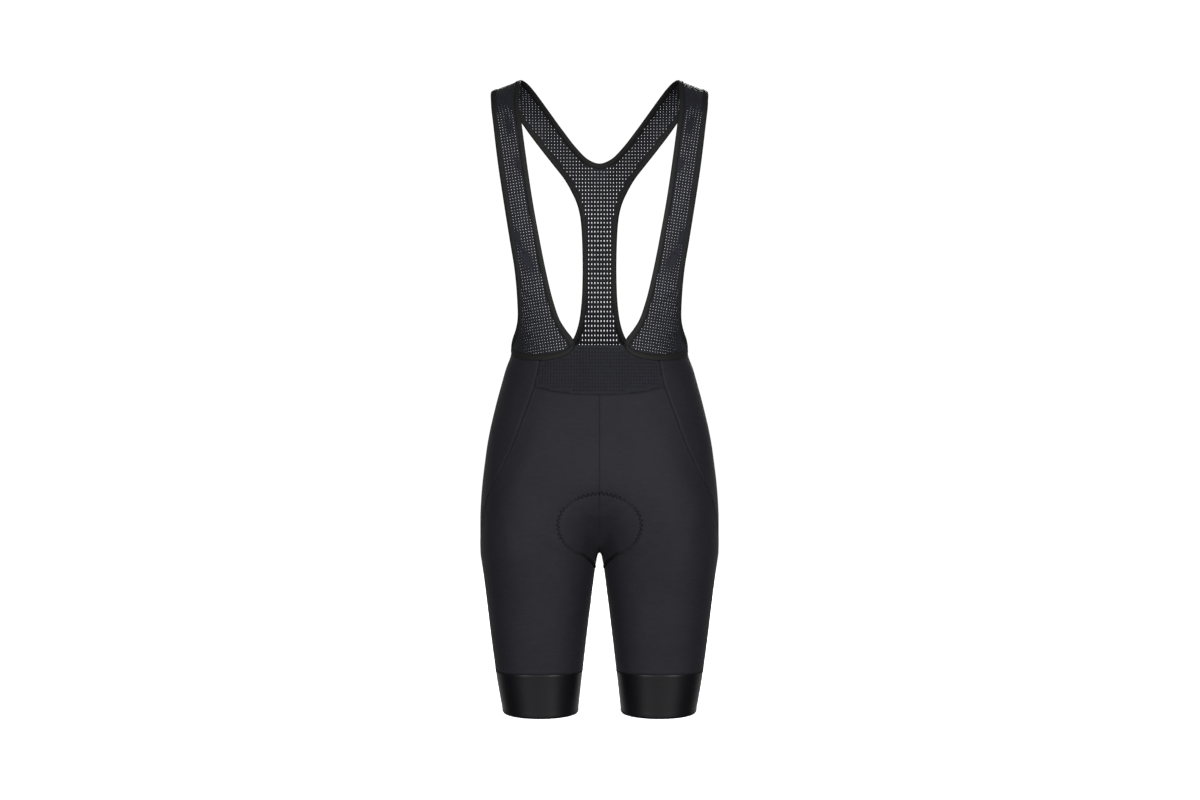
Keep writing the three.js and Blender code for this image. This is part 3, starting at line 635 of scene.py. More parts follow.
def needle_holes(line, outwards, step, width):
    """Needle holes at even steps along a line, by turns to its left and right."""
    run = run_along(line)
    places = np.linspace(0, run[-1], round(run[-1] / step) + 1)
    holes = np.stack([np.interp(places, run, column) for column in line.T], axis=1)
    up = np.stack([np.interp(places, run, column) for column in outwards.T], axis=1)
    sideways = np.cross(up, np.gradient(holes, axis=0))
    sideways /= np.linalg.norm(sideways, axis=1, keepdims=True)
    turns = np.where(np.arange(len(places)) % 2, width / 2, -width / 2)
    return holes + turns[:, None] * sideways, up


stitch_faces = [
    (1, 2, 3), (1, 3, 4), (1, 4, 5), (1, 5, 2), (0, 3, 2), (0, 4, 3), (0, 5, 4), (0, 2, 5)
]


def sewing(name, seams, thickness, finish):
    """Stitches from needle hole to needle hole along seams, as one piece. Each is a short thread,
    thickest in its middle."""
    stitches = []
    for holes, up in seams:
        start = holes[:-1]
        end = holes[1:]
        middle = (start + end) / 2
        above = thickness * (up[:-1] + up[1:]) / 2
        aside = np.cross(above, end - start)
        aside *= thickness / 2 / np.linalg.norm(aside, axis=1, keepdims=True)
        ring = [middle + aside, middle + above, middle - aside, middle - above / 2]
        stitches.append(np.stack([start, end, *ring], axis=1))
    stitches = np.concatenate(stitches)
    faces = 6 * np.arange(len(stitches))[:, None, None] + np.array(stitch_faces)
    along = np.array([0.0, 1.0, 0.5, 0.5, 0.5, 0.5])
    lengths = np.linalg.norm(stitches[:, 1] - stitches[:, 0], axis=1)
    runs = lengths[:, None] * along
    round_it = np.broadcast_to(thickness * np.array([0.5, 0.5, 0, 1, 2, 3]), runs.shape)
    places = np.stack([round_it, runs], axis=-1).reshape(-1, 2)[faces.ravel()]
    return add_mesh(name, stitches.reshape(-1, 3), faces.reshape(-1, 3).tolist(), places, finish)


def both_sides(seams):
    return seams + [(holes * (-1, 1, 1), up * (-1, 1, 1)) for holes, up in seams]


seam_step = 0.0013
seam_width = 0.0036
thread_thickness = 0.0003


def seam_on_skin(levels, shares, step=seam_step, width=seam_width, raised=0.0001):
    line = skin(levels, shares, -raised)
    return needle_holes(line, outward(line), step, width)


thread = knit_cloth(
    "polyester thread", (0.0150, 0.0148, 0.0190), 0.5, 0.2, 0.0, 0.0005, 0.0005, 0.00005, 0.05
)
panel_knit = knit_cloth(
    "matte warp knit", (0.0165, 0.0160, 0.0208), 0.60, 0.12, 0.02, 0.0009, 0.0012, 0.00012, 0.10
)
front_creases = [
    (0.012, -0.655, -1, 62, 0.030, 0.0050, 0.0011),
    (0.022, -0.630, -1, 48, 0.034, 0.0060, 0.0009),
    (0.040, -0.668, -1, 35, 0.040, 0.0080, 0.0008),
    (0.030, -0.600, -1, 30, 0.030, 0.0080, 0.0006),
    (0.105, -0.540, -1, -62, 0.060, 0.0140, 0.0008),
    (0.070, -0.480, -1, 12, 0.040, 0.0100, 0.0004),
    (0.099, -0.700, -1, 86, 0.080, 0.0130, 0.0010),
    (0.060, -0.760, -1, 80, 0.060, 0.0120, 0.0006),
    (0.128, -0.640, -1, 78, 0.060, 0.0120, 0.0008),
    (0.011, -0.664, -1, 84, 0.026, 0.0075, -0.0026),
]
front_patch = panel(insert_seam_at, lambda level: 0 * level, front_seam_at, 76, 180, front_creases)
for side, patch in (("left", front_patch), ("right", mirrored(front_patch))):
    front_panel = sewn(f"front_leg_cloth_{side}", [patch], panel_knit)
    dress(front_panel, "panel_knit", f"front_panel_{side}")

centre_levels = np.linspace(insert_seam_at(0.0), crotch_level, 80)
inseam_levels = np.linspace(crotch_level, gripper_level, 80)
side_seam_top = -0.436
side_levels = np.linspace(side_seam_top, gripper_level, 160)
leg_seams = both_sides(
    [
        seam_on_skin(inseam_levels, 0 * inseam_levels),
        seam_on_skin(side_levels, front_seam_at(side_levels)),
    ]
)
front_sewing = sewing(
    "front_seam_stitches",
    [seam_on_skin(centre_levels, 0 * centre_levels), *leg_seams],
    thread_thickness,
    thread,
)
dress(front_sewing, "panel_knit")

# Side panels: a curved panel down each side in a slightly softer and lighter stretch cloth. It is
# widest at the waist and its front seam swings back round the thigh.

side_knit = knit_cloth(
    "soft side knit", (0.0165, 0.0163, 0.0210), 0.58, 0.13, 0.02, 0.0009, 0.0012, 0.00010, 0.08
)
side_creases = [
    (0.128, -0.430, -1, 78, 0.050, 0.0090, 0.0007),
    (0.150, -0.520, -1, 80, 0.060, 0.0120, 0.0005),
    (0.120, -0.430, 1, -70, 0.040, 0.0100, 0.0008),
    (0.150, -0.600, 1, -65, 0.050, 0.0120, 0.0007),
]


def back_seam_at(level):
    return np.interp(-level, -ring_levels, side_shares) + seam_behind_at(level) / ring_length(level)


side_patch = panel(top_at, front_seam_at, back_seam_at, 34, 92, side_creases)
for side, patch in (("left", side_patch), ("right", mirrored(side_patch))):
    side_panel = sewn(f"side_cloth_{side}", [patch], side_knit)
    dress(side_panel, "side_knit", f"side_panel_{side}")

# Back leg panels: the seat and the backs of the legs in the same matte knit as the front, sewn
# together at the centre back, with soft creases where the seat turns into the thigh.

back_creases = [
    (0.055, -0.662, 1, 22, 0.040, 0.0090, 0.0016),
    (0.080, -0.676, 1, 14, 0.050, 0.0090, 0.0013),
    (0.040, -0.690, 1, 35, 0.034, 0.0080, 0.0010),
    (0.020, -0.560, 1, 70, 0.050, 0.0110, 0.0009),
    (0.060, -0.450, 1, 12, 0.045, 0.0100, 0.0009),
    (0.045, -0.478, 1, 20, 0.040, 0.0090, 0.0007),
    (0.100, -0.760, 1, -12, 0.045, 0.0120, 0.0006),
]
back_patch = panel(top_at, back_seam_at, lambda level: 0 * level + 1, 76, 180, back_creases)
for side, patch in (("left", back_patch), ("right", mirrored(back_patch))):
    back_panel = sewn(f"back_leg_cloth_{side}", [patch], panel_knit)
    dress(back_panel, "panel_knit", f"back_panel_{side}")

back_seam_top = -0.405
back_levels = np.linspace(back_seam_top, gripper_level, 160)
centre_back_levels = np.linspace(top_at(1.0), crotch_level, 80)
back_sewing = sewing(
    "back_seam_stitches",
    [
        seam_on_skin(centre_back_levels, 0 * centre_back_levels + 1),
        *both_sides([seam_on_skin(back_levels, back_seam_at(back_levels))]),
    ],
    thread_thickness,
    thread,
)
dress(back_sewing, "panel_knit")

# Leg grippers: one smooth elastic band round each leg, with a satin sheen, a short inseam of its
# own and a turned hem. It holds the leg down and is a little thicker than the knit.

gripper_thickness = 0.0018
gripper_girth = 0.40
gripper_dip = 0.0005
gripper_dip_width = 0.0010
hem_turn = 0.0035
hem_roll = 0.0007
hem_roll_width = 0.0011
hem_ridge = 0.0003
hem_ridge_width = 0.0018
gripper_rows = graded(gripper_level - hem_level, 14)
gripper_share, gripper_down = np.meshgrid(np.linspace(0, 1, 121), gripper_rows)
gripper_levels = gripper_level - gripper_down
above_hem = gripper_levels - hem_level
gripper_depth = gripper_dip * hump(gripper_down, gripper_dip_width)
gripper_depth += hem_roll * hump(above_hem, hem_roll_width)
gripper_depth -= hem_ridge * hump(above_hem - hem_turn, hem_ridge_width)
gripper_outer = skin(gripper_levels, gripper_share, gripper_depth)
gripper_inner = skin(gripper_levels, gripper_share, 0 * gripper_depth + gripper_thickness)
gripper_places = np.stack([gripper_share * gripper_girth, gripper_levels], axis=-1)
gripper_patch = (
    gripper_outer.reshape(-1, 3),
    gripper_inner.reshape(-1, 3),
    grid_faces(*gripper_levels.shape),
    gripper_places.reshape(-1, 2),
)
gripper_elastic = knit_cloth(
    "satin elastic band", (0.0045, 0.0045, 0.0058), 0.38, 0.30, 0.0, 0.0011, 0.0030, 0.00005, 0.06
)
for side, patch in (("left", gripper_patch), ("right", mirrored(gripper_patch))):
    gripper = sewn(f"gripper_band_{side}", [patch], gripper_elastic)
    dress(gripper, "gripper_band", f"leg_gripper_{side}")

gripper_seam_width = 0.0030
hem_seam_width = 0.0016
hem_seam_rise = 0.0003
round_leg = np.linspace(0, 1, 241)
hem_levels = hem_level + hem_turn + 0 * round_leg
gripper_seams = [
    seam_on_skin(gripper_level + 0 * round_leg, round_leg, width=gripper_seam_width),
    seam_on_skin(hem_levels, round_leg, width=hem_seam_width, raised=hem_seam_rise),
]
hem_sewing = sewing("gripper_stitches", both_sides(gripper_seams), thread_thickness, thread)
dress(hem_sewing, "gripper_band")

# Seat pad: a moulded foam pad in brushed cloth, sewn inside the crotch. It is thin at its edge,
# thickest under the seat bones, and has two channels in its foam.

# Level, and how far the pad inside reaches round the cloth ahead of and behind the inseam
pad_rows = [
    (-0.551, 0.010, 0.044),
    (-0.562, 0.012, 0.070),
    (-0.574, 0.022, 0.079),
    (-0.583, 0.044, 0.082),
    (-0.594, 0.055, 0.083),
    (-0.611, 0.061, 0.080),
    (-0.626, 0.061, 0.072),
    (-0.640, 0.057, 0.062),
    (-0.654, 0.041, 0.044),
    (-0.668, 0.016, 0.018),
]
pad_front_top = -0.574
pad_back_top = -0.551
pad_flange = 0.007
pad_girth = 0.5
pad_clearance = 0.0009
pad_edge_thickness = 0.0012
pad_middle_thickness = 0.009
pad_channel_depth = 0.0028
pad_channel_place = 0.42
pad_channel_width = 0.06
pad_ahead_at, pad_behind_at = smooth_columns(pad_rows)
pad_bottom = pad_rows[-1][0]


def pad_patch(reach_at, top, behind):
    above_crotch = np.linspace(top, crotch_level, 26)
    below_crotch = np.linspace(crotch_level, pad_bottom, 10)[1:]
    levels = np.concatenate([above_crotch, below_crotch])[:, None]
    across = np.linspace(0, 1, 22)
    reach = (reach_at(levels) + pad_flange) * across / ring_length(levels)
    place = 1 - reach if behind else reach
    down = (levels - top) / (pad_bottom - top)
    fullness = (1 - across**3) * (1 - np.abs(2 * down - 1) ** 4)
    channel = pad_channel_depth * hump(across - pad_channel_place, pad_channel_width)
    foam = mix(pad_edge_thickness, pad_middle_thickness, fullness)
    thickness = foam - channel * smooth_step(0.0, 0.3, fullness)
    level, place, thickness = np.broadcast_arrays(levels, place, thickness)
    depth = panel_thickness + pad_clearance
    outer = skin(level, place, depth)
    inner = skin(level, place, depth + thickness)
    places = np.stack([place * pad_girth, level], axis=-1)
    faces = grid_faces(*level.shape)
    faces = faces[:, ::-1] if behind else faces
    return outer.reshape(-1, 3), inner.reshape(-1, 3), faces, places.reshape(-1, 2)


pad_front = pad_patch(pad_ahead_at, pad_front_top, False)
pad_back = pad_patch(pad_behind_at, pad_back_top, True)
brushed_cloth = knit_cloth(
    "brushed pad cover", (0.0090, 0.0090, 0.0110), 0.9, 0.1, 0.2, 0.0012, 0.0012, 0.00015, 0.12
)
seat_pad = sewn(
    "moulded_seat_pad", [pad_front, mirrored(pad_front), pad_back, mirrored(pad_back)], brushed_cloth
)
dress(seat_pad, "pad_cloth", "seat_pad")

pad_stitch_step = 0.0032
pad_zigzag_width = 0.0066
pad_stitch_sink = 0.0003
bonded_thickness = 0.0015
# The pad ring's thread is painted near black. Its darkness is painted shade of the stitch groove; the
# real thread matches the other seams.
pad_thread_painted_shade = knit_cloth(
    "pad thread painted dark for shade", (0.0030, 0.0030, 0.0036), 0.5, 0.2, 0.0, 0.0006, 0.0006, 0.00006, 0.05
)
pad_out = outward(pad_line)
pad_holes, pad_up = needle_holes(pad_line, pad_out, pad_stitch_step, pad_zigzag_width)
pad_holes -= pad_stitch_sink * pad_up
pad_seams = both_sides([(pad_holes, pad_up)])
pad_sewing = sewing("pad_ring_stitches", pad_seams, bonded_thickness, pad_thread_painted_shade)
dress(pad_sewing, "panel_knit")

# Front straps: open stretch mesh from the shoulder down to a wide curved foot on the shorts. They
# lie on a chest and back that join over the shoulder, and their holes go right through.

shoulder_arch = [
    (-0.076, -0.070),
    (-0.062, -0.042),
    (-0.042, -0.019),
    (-0.020, -0.0045),
    (0.000, 0.000),
    (0.020, -0.0045),
    (0.041, -0.019),
    (0.059, -0.042),
    (0.071, -0.070),
]
shoulder_slope = 0.385
shoulder_neck_side = 0.110
shoulder_slope_ends = -0.060

# Height, and how far the strap's inner and outer edges lie from the midline, up from the foot
front_strap_rows = [
    (-0.369, 0.0372, 0.1230),
    (-0.357, 0.0464, 0.1184),
    (-0.343, 0.0552, 0.1152),
    (-0.315, 0.0649, 0.1153),
    (-0.274, 0.0747, 0.1187),
    (-0.232, 0.0831, 0.1254),
    (-0.176, 0.0932, 0.1343),
    (-0.120, 0.1016, 0.1427),
    (-0.072, 0.1081, 0.1486),
    (-0.048, 0.1112, 0.1515),
    (-0.024, 0.1118, 0.1530),
    (0.000, 0.1100, 0.1527),
]
foot_inner_corner = (0.1, -0.3775)
foot_outer_corner = (0.475, -0.3755)
foot_curve_rows = 5
seam_gap = 0.0003

# Back of the garment from the shoulder down: x and z of the neck edge and of the armhole edge
back_strap_rows = [
    (0.1022, -0.0035, 0.1394, -0.0160),
    (0.0857, -0.0215, 0.1202, -0.0440),
    (0.0686, -0.0439, 0.1033, -0.0680),
    (0.0514, -0.0666, 0.0844, -0.0925),
    (0.0341, -0.0883, 0.0674, -0.1138),
    (0.0167, -0.1052, 0.0506, -0.1353),
    (0.0000, -0.1113, 0.0399, -0.1541),
]

# The stem below the neck: height on the centre line, x and z of the armhole edge beside it
back_stem_rows = [
    (-0.1423, 0.0334, -0.1684),
    (-0.1713, 0.0290, -0.1844),
    (-0.2004, 0.0267, -0.2018),
    (-0.2367, 0.0250, -0.2367),
    (-0.2803, 0.0248, -0.2803),
    (-0.3166, 0.0265, -0.3166),
    (-0.3500, 0.0309, -0.3456),
    (-0.3850, 0.0385, -0.3660),
    (-0.4150, 0.0500, -0.3805),
]

# The flared base: share along its bottom seam, share and height of the armhole edge above
yoke_base_rows = [
    (1.00, 0.800, -0.3900),
    (0.88, 0.750, -0.3945),
    (0.78, 0.710, -0.3960),
    (0.70, 0.685, -0.3955),
]

# The armhole edge under the arm, from the back round the side to the front strap
underarm_rows = [
    (0.720, -0.3958),
    (0.685, -0.3955),
    (0.650, -0.3940),
    (0.620, -0.3920),
    (0.580, -0.3880),
    (0.540, -0.3830),
    (0.504, -0.3785),
    (0.475, -0.3755),
    (0.430, -0.3690),
]

# The side profile of the body the straps lie on: up its front, over the shoulder, down its back
profile_bottom = -0.450
arch_start = -0.105
profile_step = 0.010
profile_ends = np.arange(profile_bottom, arch_start, profile_step)
profile_line = np.concatenate(
    [
        np.stack([-ahead_at(profile_ends), profile_ends], axis=1),
        shoulder_arch,
        np.stack([behind_at(profile_ends[::-1]), profile_ends[::-1]], axis=1),
    ]
)
profile = smooth_line(profile_line)(np.linspace(0, len(profile_line) - 1, 1601))
profile_top = int(np.argmax(profile[:, 1]))
profile_run = run_along(profile)
profile_run -= profile_run[profile_top]


def along_profile(z, behind):
    """Distance along the side profile from the shoulder: less than 0 in front."""
    if behind:
        return np.interp(-z, -profile[profile_top:, 1], profile_run[profile_top:])
    return np.interp(z, profile[: profile_top + 1, 1], profile_run[: profile_top + 1])


sheet_step = 0.002
sheet_reach = 0.26
sheet_alongs = np.arange(profile_run[0], profile_run[-1], sheet_step)
sheet_acrosses = np.arange(0, sheet_reach, sheet_step)
sheet_points = np.empty((len(sheet_alongs), len(sheet_acrosses), 3))
quarter = np.linspace(0, math.pi / 2, 61)
quarter_across = np.sin(quarter) ** (2 / section_roundness)
quarter_depth = np.append(np.cos(quarter[:-1]) ** (2 / section_roundness), 0)
for number, along in enumerate(sheet_alongs):
    y = np.interp(along, profile_run, profile[:, 0])
    z = np.interp(along, profile_run, profile[:, 1])
    section = np.stack([half_width_at(z) * quarter_across, y * quarter_depth], axis=1)
    run = run_along(section)
    x = np.interp(sheet_acrosses, run, section[:, 0])
    slope = shoulder_slope * smooth_step(shoulder_slope_ends, 0, z)
    sheet_points[number, :, 0] = x
    sheet_points[number, :, 1] = np.interp(sheet_acrosses, run, section[:, 1])
    sheet_points[number, :, 2] = z - slope * np.maximum(x - shoulder_neck_side, 0)


def sheet_point(place):
    across, along = np.moveaxis(place, -1, 0)
    row_place = (along - sheet_alongs[0]) / sheet_step
    column_place = np.abs(across) / sheet_step
    row = np.clip(row_place.astype(int), 0, len(sheet_alongs) - 2)
    column = np.clip(column_place.astype(int), 0, len(sheet_acrosses) - 2)
    up = (row_place - row)[..., None]
    out = (column_place - column)[..., None]
    near = mix(sheet_points[row, column], sheet_points[row, column + 1], out)
    far = mix(sheet_points[row + 1, column], sheet_points[row + 1, column + 1], out)
    point = mix(near, far, up)
    point[..., 0] *= np.where(across < 0, -1, 1)
    return point


def sheet(place, depth=0.0):
    """Points of the upper cloth: across from the midline and along the side profile."""
    place = np.asarray(place, float)
    across = sheet_point(place + (sheet_step, 0)) - sheet_point(place - (sheet_step, 0))
    along = sheet_point(place + (0, sheet_step)) - sheet_point(place - (0, sheet_step))
    normal = np.cross(across, along)
    normal /= np.linalg.norm(normal, axis=-1, keepdims=True)
    return sheet_point(place) - np.asarray(depth)[..., None] * normal


def on_sheet(x, z, behind):
    along = float(along_profile(z, behind))
    row = np.clip(round((along - sheet_alongs[0]) / sheet_step), 0, len(sheet_alongs) - 1)
    return float(np.interp(x, sheet_points[row, :, 0], sheet_acrosses)), along


def share_on_sheet(share, z, behind):
    around = 1 - share if behind else share
    return np.stack(np.broadcast_arrays(around * ring_length(z), along_profile(z, behind)), axis=-1)


front_rows = [
    (on_sheet(inner, z, False), on_sheet(outer, z, False)) for z, inner, outer in front_strap_rows
]
back_rows = [
    (on_sheet(neck_x, neck_z, True), on_sheet(arm_x, arm_z, True))
    for neck_x, neck_z, arm_x, arm_z in back_strap_rows
]
shoulder_row = len(front_rows)
centre_row = shoulder_row + len(back_rows)
corner_row = centre_row + len(back_stem_rows) + 1
base_row = corner_row + len(yoke_base_rows) - 1

neck_places = [share_on_sheet(*foot_inner_corner, False)]
neck_places += [row[0] for row in front_rows + back_rows]
neck_places.append((-neck_places[-2][0], neck_places[-2][1]))
neck_line = smooth_line(neck_places)
arm_places = [share_on_sheet(*underarm_rows[-3], False), share_on_sheet(*foot_outer_corner, False)]
arm_places += [row[1] for row in front_rows + back_rows]
arm_places += [on_sheet(x, z, True) for _, x, z in back_stem_rows]
arm_places += [share_on_sheet(share, z, True) for _, share, z in yoke_base_rows]
arm_places.append(share_on_sheet(*underarm_rows[2], True))
arm_line = smooth_line(arm_places)


def beside_line(line, counts, distance, turn):
    """Places beside a line, at a distance to its left or right."""
    counts = np.asarray(counts, float)
    tangent = line(counts + 0.001) - line(counts - 0.001)
    tangent /= np.linalg.norm(tangent, axis=-1, keepdims=True)
    sideways = np.stack([tangent[..., 1], -tangent[..., 0]], axis=-1)
    return line(counts) + turn * np.asarray(distance)[..., None] * sideways


def foot_line(across):
    """The shorts' top edge under a strap foot, along the sheet."""
    level = foot_inner_corner[1] + 0 * across
    for _ in range(settling_rounds):
        level = top_at(across / ring_length(level)) + seam_gap
    return along_profile(level, False)


def lowered_to_foot(place, last_place, row):
    share = smooth_step(foot_curve_rows, 0, row)
    lowered = place[..., 1] + share * (foot_line(last_place[..., 0]) - last_place[..., 1])
    return np.stack([place[..., 0], lowered], axis=-1)


def neck_edge(row, distance):
    row = np.asarray(row, float)
    place = beside_line(neck_line, row, distance, 1)
    place[..., 0] = np.where(row == centre_row, 0, place[..., 0])
    return lowered_to_foot(place, beside_line(neck_line, 0 * row, distance, 1), row)


def arm_edge(row, distance):
    return beside_line(arm_line, np.asarray(row, float) + 1, distance, -1)


def strap_place(row, across, inset):
    def between(at):
        inner = beside_line(neck_line, at, inset, 1)
        return mix(inner, arm_edge(at, inset), across)

    row = np.asarray(row, float)
    return lowered_to_foot(between(row), between(0 * row), row)


def within(outline, places):
    """True for places inside a closed outline."""
    x, y = places.T
    inside = np.zeros(len(places), bool)
    for (x0, y0), (x1, y1) in zip(outline, np.roll(outline, -1, axis=0)):
        crosses = (y0 > y) != (y1 > y)
        if y0 != y1:
            inside ^= crosses & (x < x0 + (y - y0) * (x1 - x0) / (y1 - y0))
    return inside


hole_turns = (np.arange(8) + 5) * math.pi / 4
round_hole = np.stack([np.cos(hole_turns), np.sin(hole_turns)], axis=-1)
cell_ring = np.array([(0, 0), (1, 0), (2, 0), (2, 1), (2, 2), (1, 2), (0, 2), (0, 1)])
smallest_hole = 0.4
hole_spread = 0.1
edge_pull = 0.8
border_count = 3000


def full_size(places):
    return np.ones(len(places))


def open_mesh(outline, pitch, hole, grain, size_at=full_size, plain=0.0):
    """A patch of open mesh inside an outline: square cells along the grain, each with a hole
    right through, except beside the outline and where the cloth is doubled or gathered."""
    outline = np.asarray(outline)
    centre = outline.mean(axis=0)
    turn = math.radians(grain)
    axes = np.array([[math.cos(turn), math.sin(turn)], [-math.sin(turn), math.cos(turn)]])
    steps = np.array(pitch)[:, None] * axes
    count = int(0.75 * np.ptp(outline, axis=0).max() / min(pitch)) + 2
    grid = np.stack(np.meshgrid(np.arange(-count, count), np.arange(-count, count)), -1)
    cells = grid.reshape(-1, 2)
    middles = centre + (cells + 0.5) @ steps
    cells = cells[within(outline, middles)]
    middles = centre + (cells + 0.5) @ steps
    corners = 2 * cells[:, None] + cell_ring
    keys, numbers = np.unique(corners.reshape(-1, 2), axis=0, return_inverse=True)
    numbers = numbers.reshape(-1, 8)
    places = centre + keys / 2 @ steps
    uses = np.bincount(numbers.ravel(), minlength=len(keys))
    full = np.where((keys % 2).sum(axis=1) == 0, 4, 2)
    rim = uses < full
    border = evenly_spaced(np.vstack([outline, outline[:1]]), border_count)
    for number in np.flatnonzero(rim):
        gaps = np.linalg.norm(border - places[number], axis=1)
        if gaps.min() < edge_pull * max(pitch):
            places[number] = border[np.argmin(gaps)]
    from_border = np.array([np.linalg.norm(border - middle, axis=1).min() for middle in middles])
    rng = np.random.default_rng(7)
    size = size_at(middles) * rng.uniform(1 - hole_spread, 1 + hole_spread, len(cells))
    holed = ~rim[numbers].any(axis=1) & (from_border > plain) & (size > smallest_hole)
    own_middles = places[numbers].mean(axis=1)
    hole_points = round_hole * (np.array(hole) / 2)
    hole_places = own_middles[holed, None] + size[holed, None, None] * (hole_points @ axes)
    hole_start = len(places)
    middle_start = hole_start + 8 * int(holed.sum())
    all_places = np.concatenate([places, hole_places.reshape(-1, 2), own_middles[~holed]])
    faces = []
    open_cells = numbers[holed].T
    rings_start = hole_start + 8 * np.arange(open_cells.shape[1])
    for k in range(8):
        after = (k + 1) % 8
        faces.append((open_cells[k], open_cells[after], rings_start + after, rings_start + k))
    plain_cells = numbers[~holed].T
    middle_numbers = middle_start + np.arange(plain_cells.shape[1])
    for k in (0, 2, 4, 6):
        faces.append((plain_cells[k], plain_cells[k + 1], middle_numbers, plain_cells[k - 1]))
    return all_places, np.concatenate([np.stack(corners, axis=1) for corners in faces])


def fold_height(places, folds):
    """Height of listed soft folds: across, along, slant, length, width and height."""
    height = np.zeros(len(places))
    for across, along, slant, length, width, rise in folds:
        turn = math.radians(slant)
        right, down = (places - (across, along)).T
        run = right * math.cos(turn) + down * math.sin(turn)
        over = down * math.cos(turn) - right * math.sin(turn)
        height += rise * np.exp(-((run / length) ** 2) - (over / width) ** 2)
    return height


def mesh_patch(places, faces, folds, thickness, depth=0.0):
    depth = depth - fold_height(places, folds)
    return sheet(places, depth), sheet(places, depth + thickness), faces[:, ::-1], places


under_binding = 0.0025
mesh_thickness = 0.0008
strap_pitch = (0.0042, 0.0041)
strap_hole = (0.0011, 0.0012)
strap_grain = -8
strap_mesh = knit_cloth(
    "open stretch mesh", (0.0140, 0.0145, 0.0200), 0.6, 0.12, 0.03, 0.0007, 0.0007, 0.00010, 0.12
)
strap_folds = [
    (0.112, -0.300, 55, 0.020, 0.0050, 0.0022),
    (0.120, -0.288, 60, 0.018, 0.0045, -0.0016),
    (0.098, -0.346, 35, 0.022, 0.0060, 0.0012),
    (0.125, -0.205, 65, 0.022, 0.0060, 0.0010),
    (0.120, -0.120, 70, 0.020, 0.0060, 0.0014),
    (0.100, -0.400, 10, 0.030, 0.0070, 0.0008),
    (0.130, 0.002, 0, 0.060, 0.0060, 0.0003),
]

# Where the mesh is gathered and its holes close: across, along, slant, length and width
strap_gathers = [
    (0.103, -0.300, 62, 0.016, 0.0070),
    (0.118, -0.268, 75, 0.012, 0.0050),
    (0.112, -0.168, 65, 0.012, 0.0060),
    (0.128, -0.110, 75, 0.014, 0.0050),
]
gather_strength = 0.9
lap_start = 0.002
lap_end = 0.016
shoulder_lap = 0.25
strap_counts = np.linspace(0, shoulder_row + shoulder_lap, 160)
strap_outline = np.concatenate(
    [
        strap_place(strap_counts, 0.0, under_binding),
        strap_place(strap_counts[::-1], 1.0, under_binding),
        strap_place(np.zeros(40), np.linspace(1, 0, 40)[:, None], under_binding),
    ]
)


def strap_hole_size(places):
    """Holes close up where the strap is gathered and beside the shoulder."""
    gathered = fold_height(places, [(*gather, 1) for gather in strap_gathers])
    from_shoulder = np.abs(places[:, 1])
    open_share = np.maximum(1 - gather_strength * gathered, 0)
    return open_share * smooth_step(lap_start, lap_end, from_shoulder)


strap_cloth = open_mesh(strap_outline, strap_pitch, strap_hole, strap_grain, strap_hole_size)
strap_patch = mesh_patch(*strap_cloth, strap_folds, mesh_thickness)
for side, patch in (("left", strap_patch), ("right", mirrored(strap_patch))):
    front_strap = sewn(f"front_strap_mesh_{side}", [patch], strap_mesh)
    dress(front_strap, "strap_mesh", f"front_strap_{side}")

# Back yoke: both back straps, the stem and the flared base cut in one piece of the same mesh. It
# is sewn to the front straps on the shoulders and to the back panels below.

yoke_base_shares = smooth_line([(row[0], 0) for row in yoke_base_rows])
base_counts = np.linspace(0, len(yoke_base_rows) - 1, 60)
base_shares = yoke_base_shares(base_counts)[:, 0]
neck_counts = np.linspace(shoulder_row + 0.004, centre_row, 120)
arm_counts = np.linspace(shoulder_row + 0.004, base_row, 260)
yoke_neck = neck_edge(neck_counts, under_binding)
yoke_sides = np.concatenate(
    [
        share_on_sheet(base_shares, top_at(base_shares) + seam_gap, True),
        arm_edge(arm_counts[::-1], under_binding),
    ]
)
yoke_outline = np.concatenate(
    [yoke_neck, yoke_neck[::-1] * (-1, 1), yoke_sides[::-1] * (-1, 1), yoke_sides]
)

# Distance from the shoulder, and how far each row of holes lies from the next there
drawn_rows = [
    (0.00, 0.0042),
    (0.09, 0.0044),
    (0.15, 0.0050),
    (0.20, 0.0057),
    (0.27, 0.0068),
    (0.50, 0.0070),
]
yoke_pitch = (0.0045, 0.0042)
yoke_hole = (0.00105, 0.0014)
shoulder_hole_share = 0.85
stem_hole_share = 1.25
stem_holes_start = 0.11
stem_holes_end = 0.24
drawn_alongs = np.linspace(0, drawn_rows[-1][0], 501)
(row_pitch_at,) = smooth_columns(drawn_rows)
drawn_middles = (drawn_alongs[1:] + drawn_alongs[:-1]) / 2
relaxed_steps = np.diff(drawn_alongs) * yoke_pitch[1] / row_pitch_at(drawn_middles)
relaxed_alongs = np.append(0, np.cumsum(relaxed_steps))


def relaxed(places):
    """Places on the yoke before the stem is drawn out lengthwise."""
    return np.stack([places[:, 0], np.interp(places[:, 1], drawn_alongs, relaxed_alongs)], axis=1)


def drawn_out(places):
    """The same places once the stem is drawn out."""
    return np.stack([places[:, 0], np.interp(places[:, 1], relaxed_alongs, drawn_alongs)], axis=1)


def yoke_hole_size(places):
    """Holes open wider down the stem, where the yoke is drawn out."""
    opened = smooth_step(stem_holes_start, stem_holes_end, drawn_out(places)[:, 1])
    return mix(shoulder_hole_share, stem_hole_share, opened)


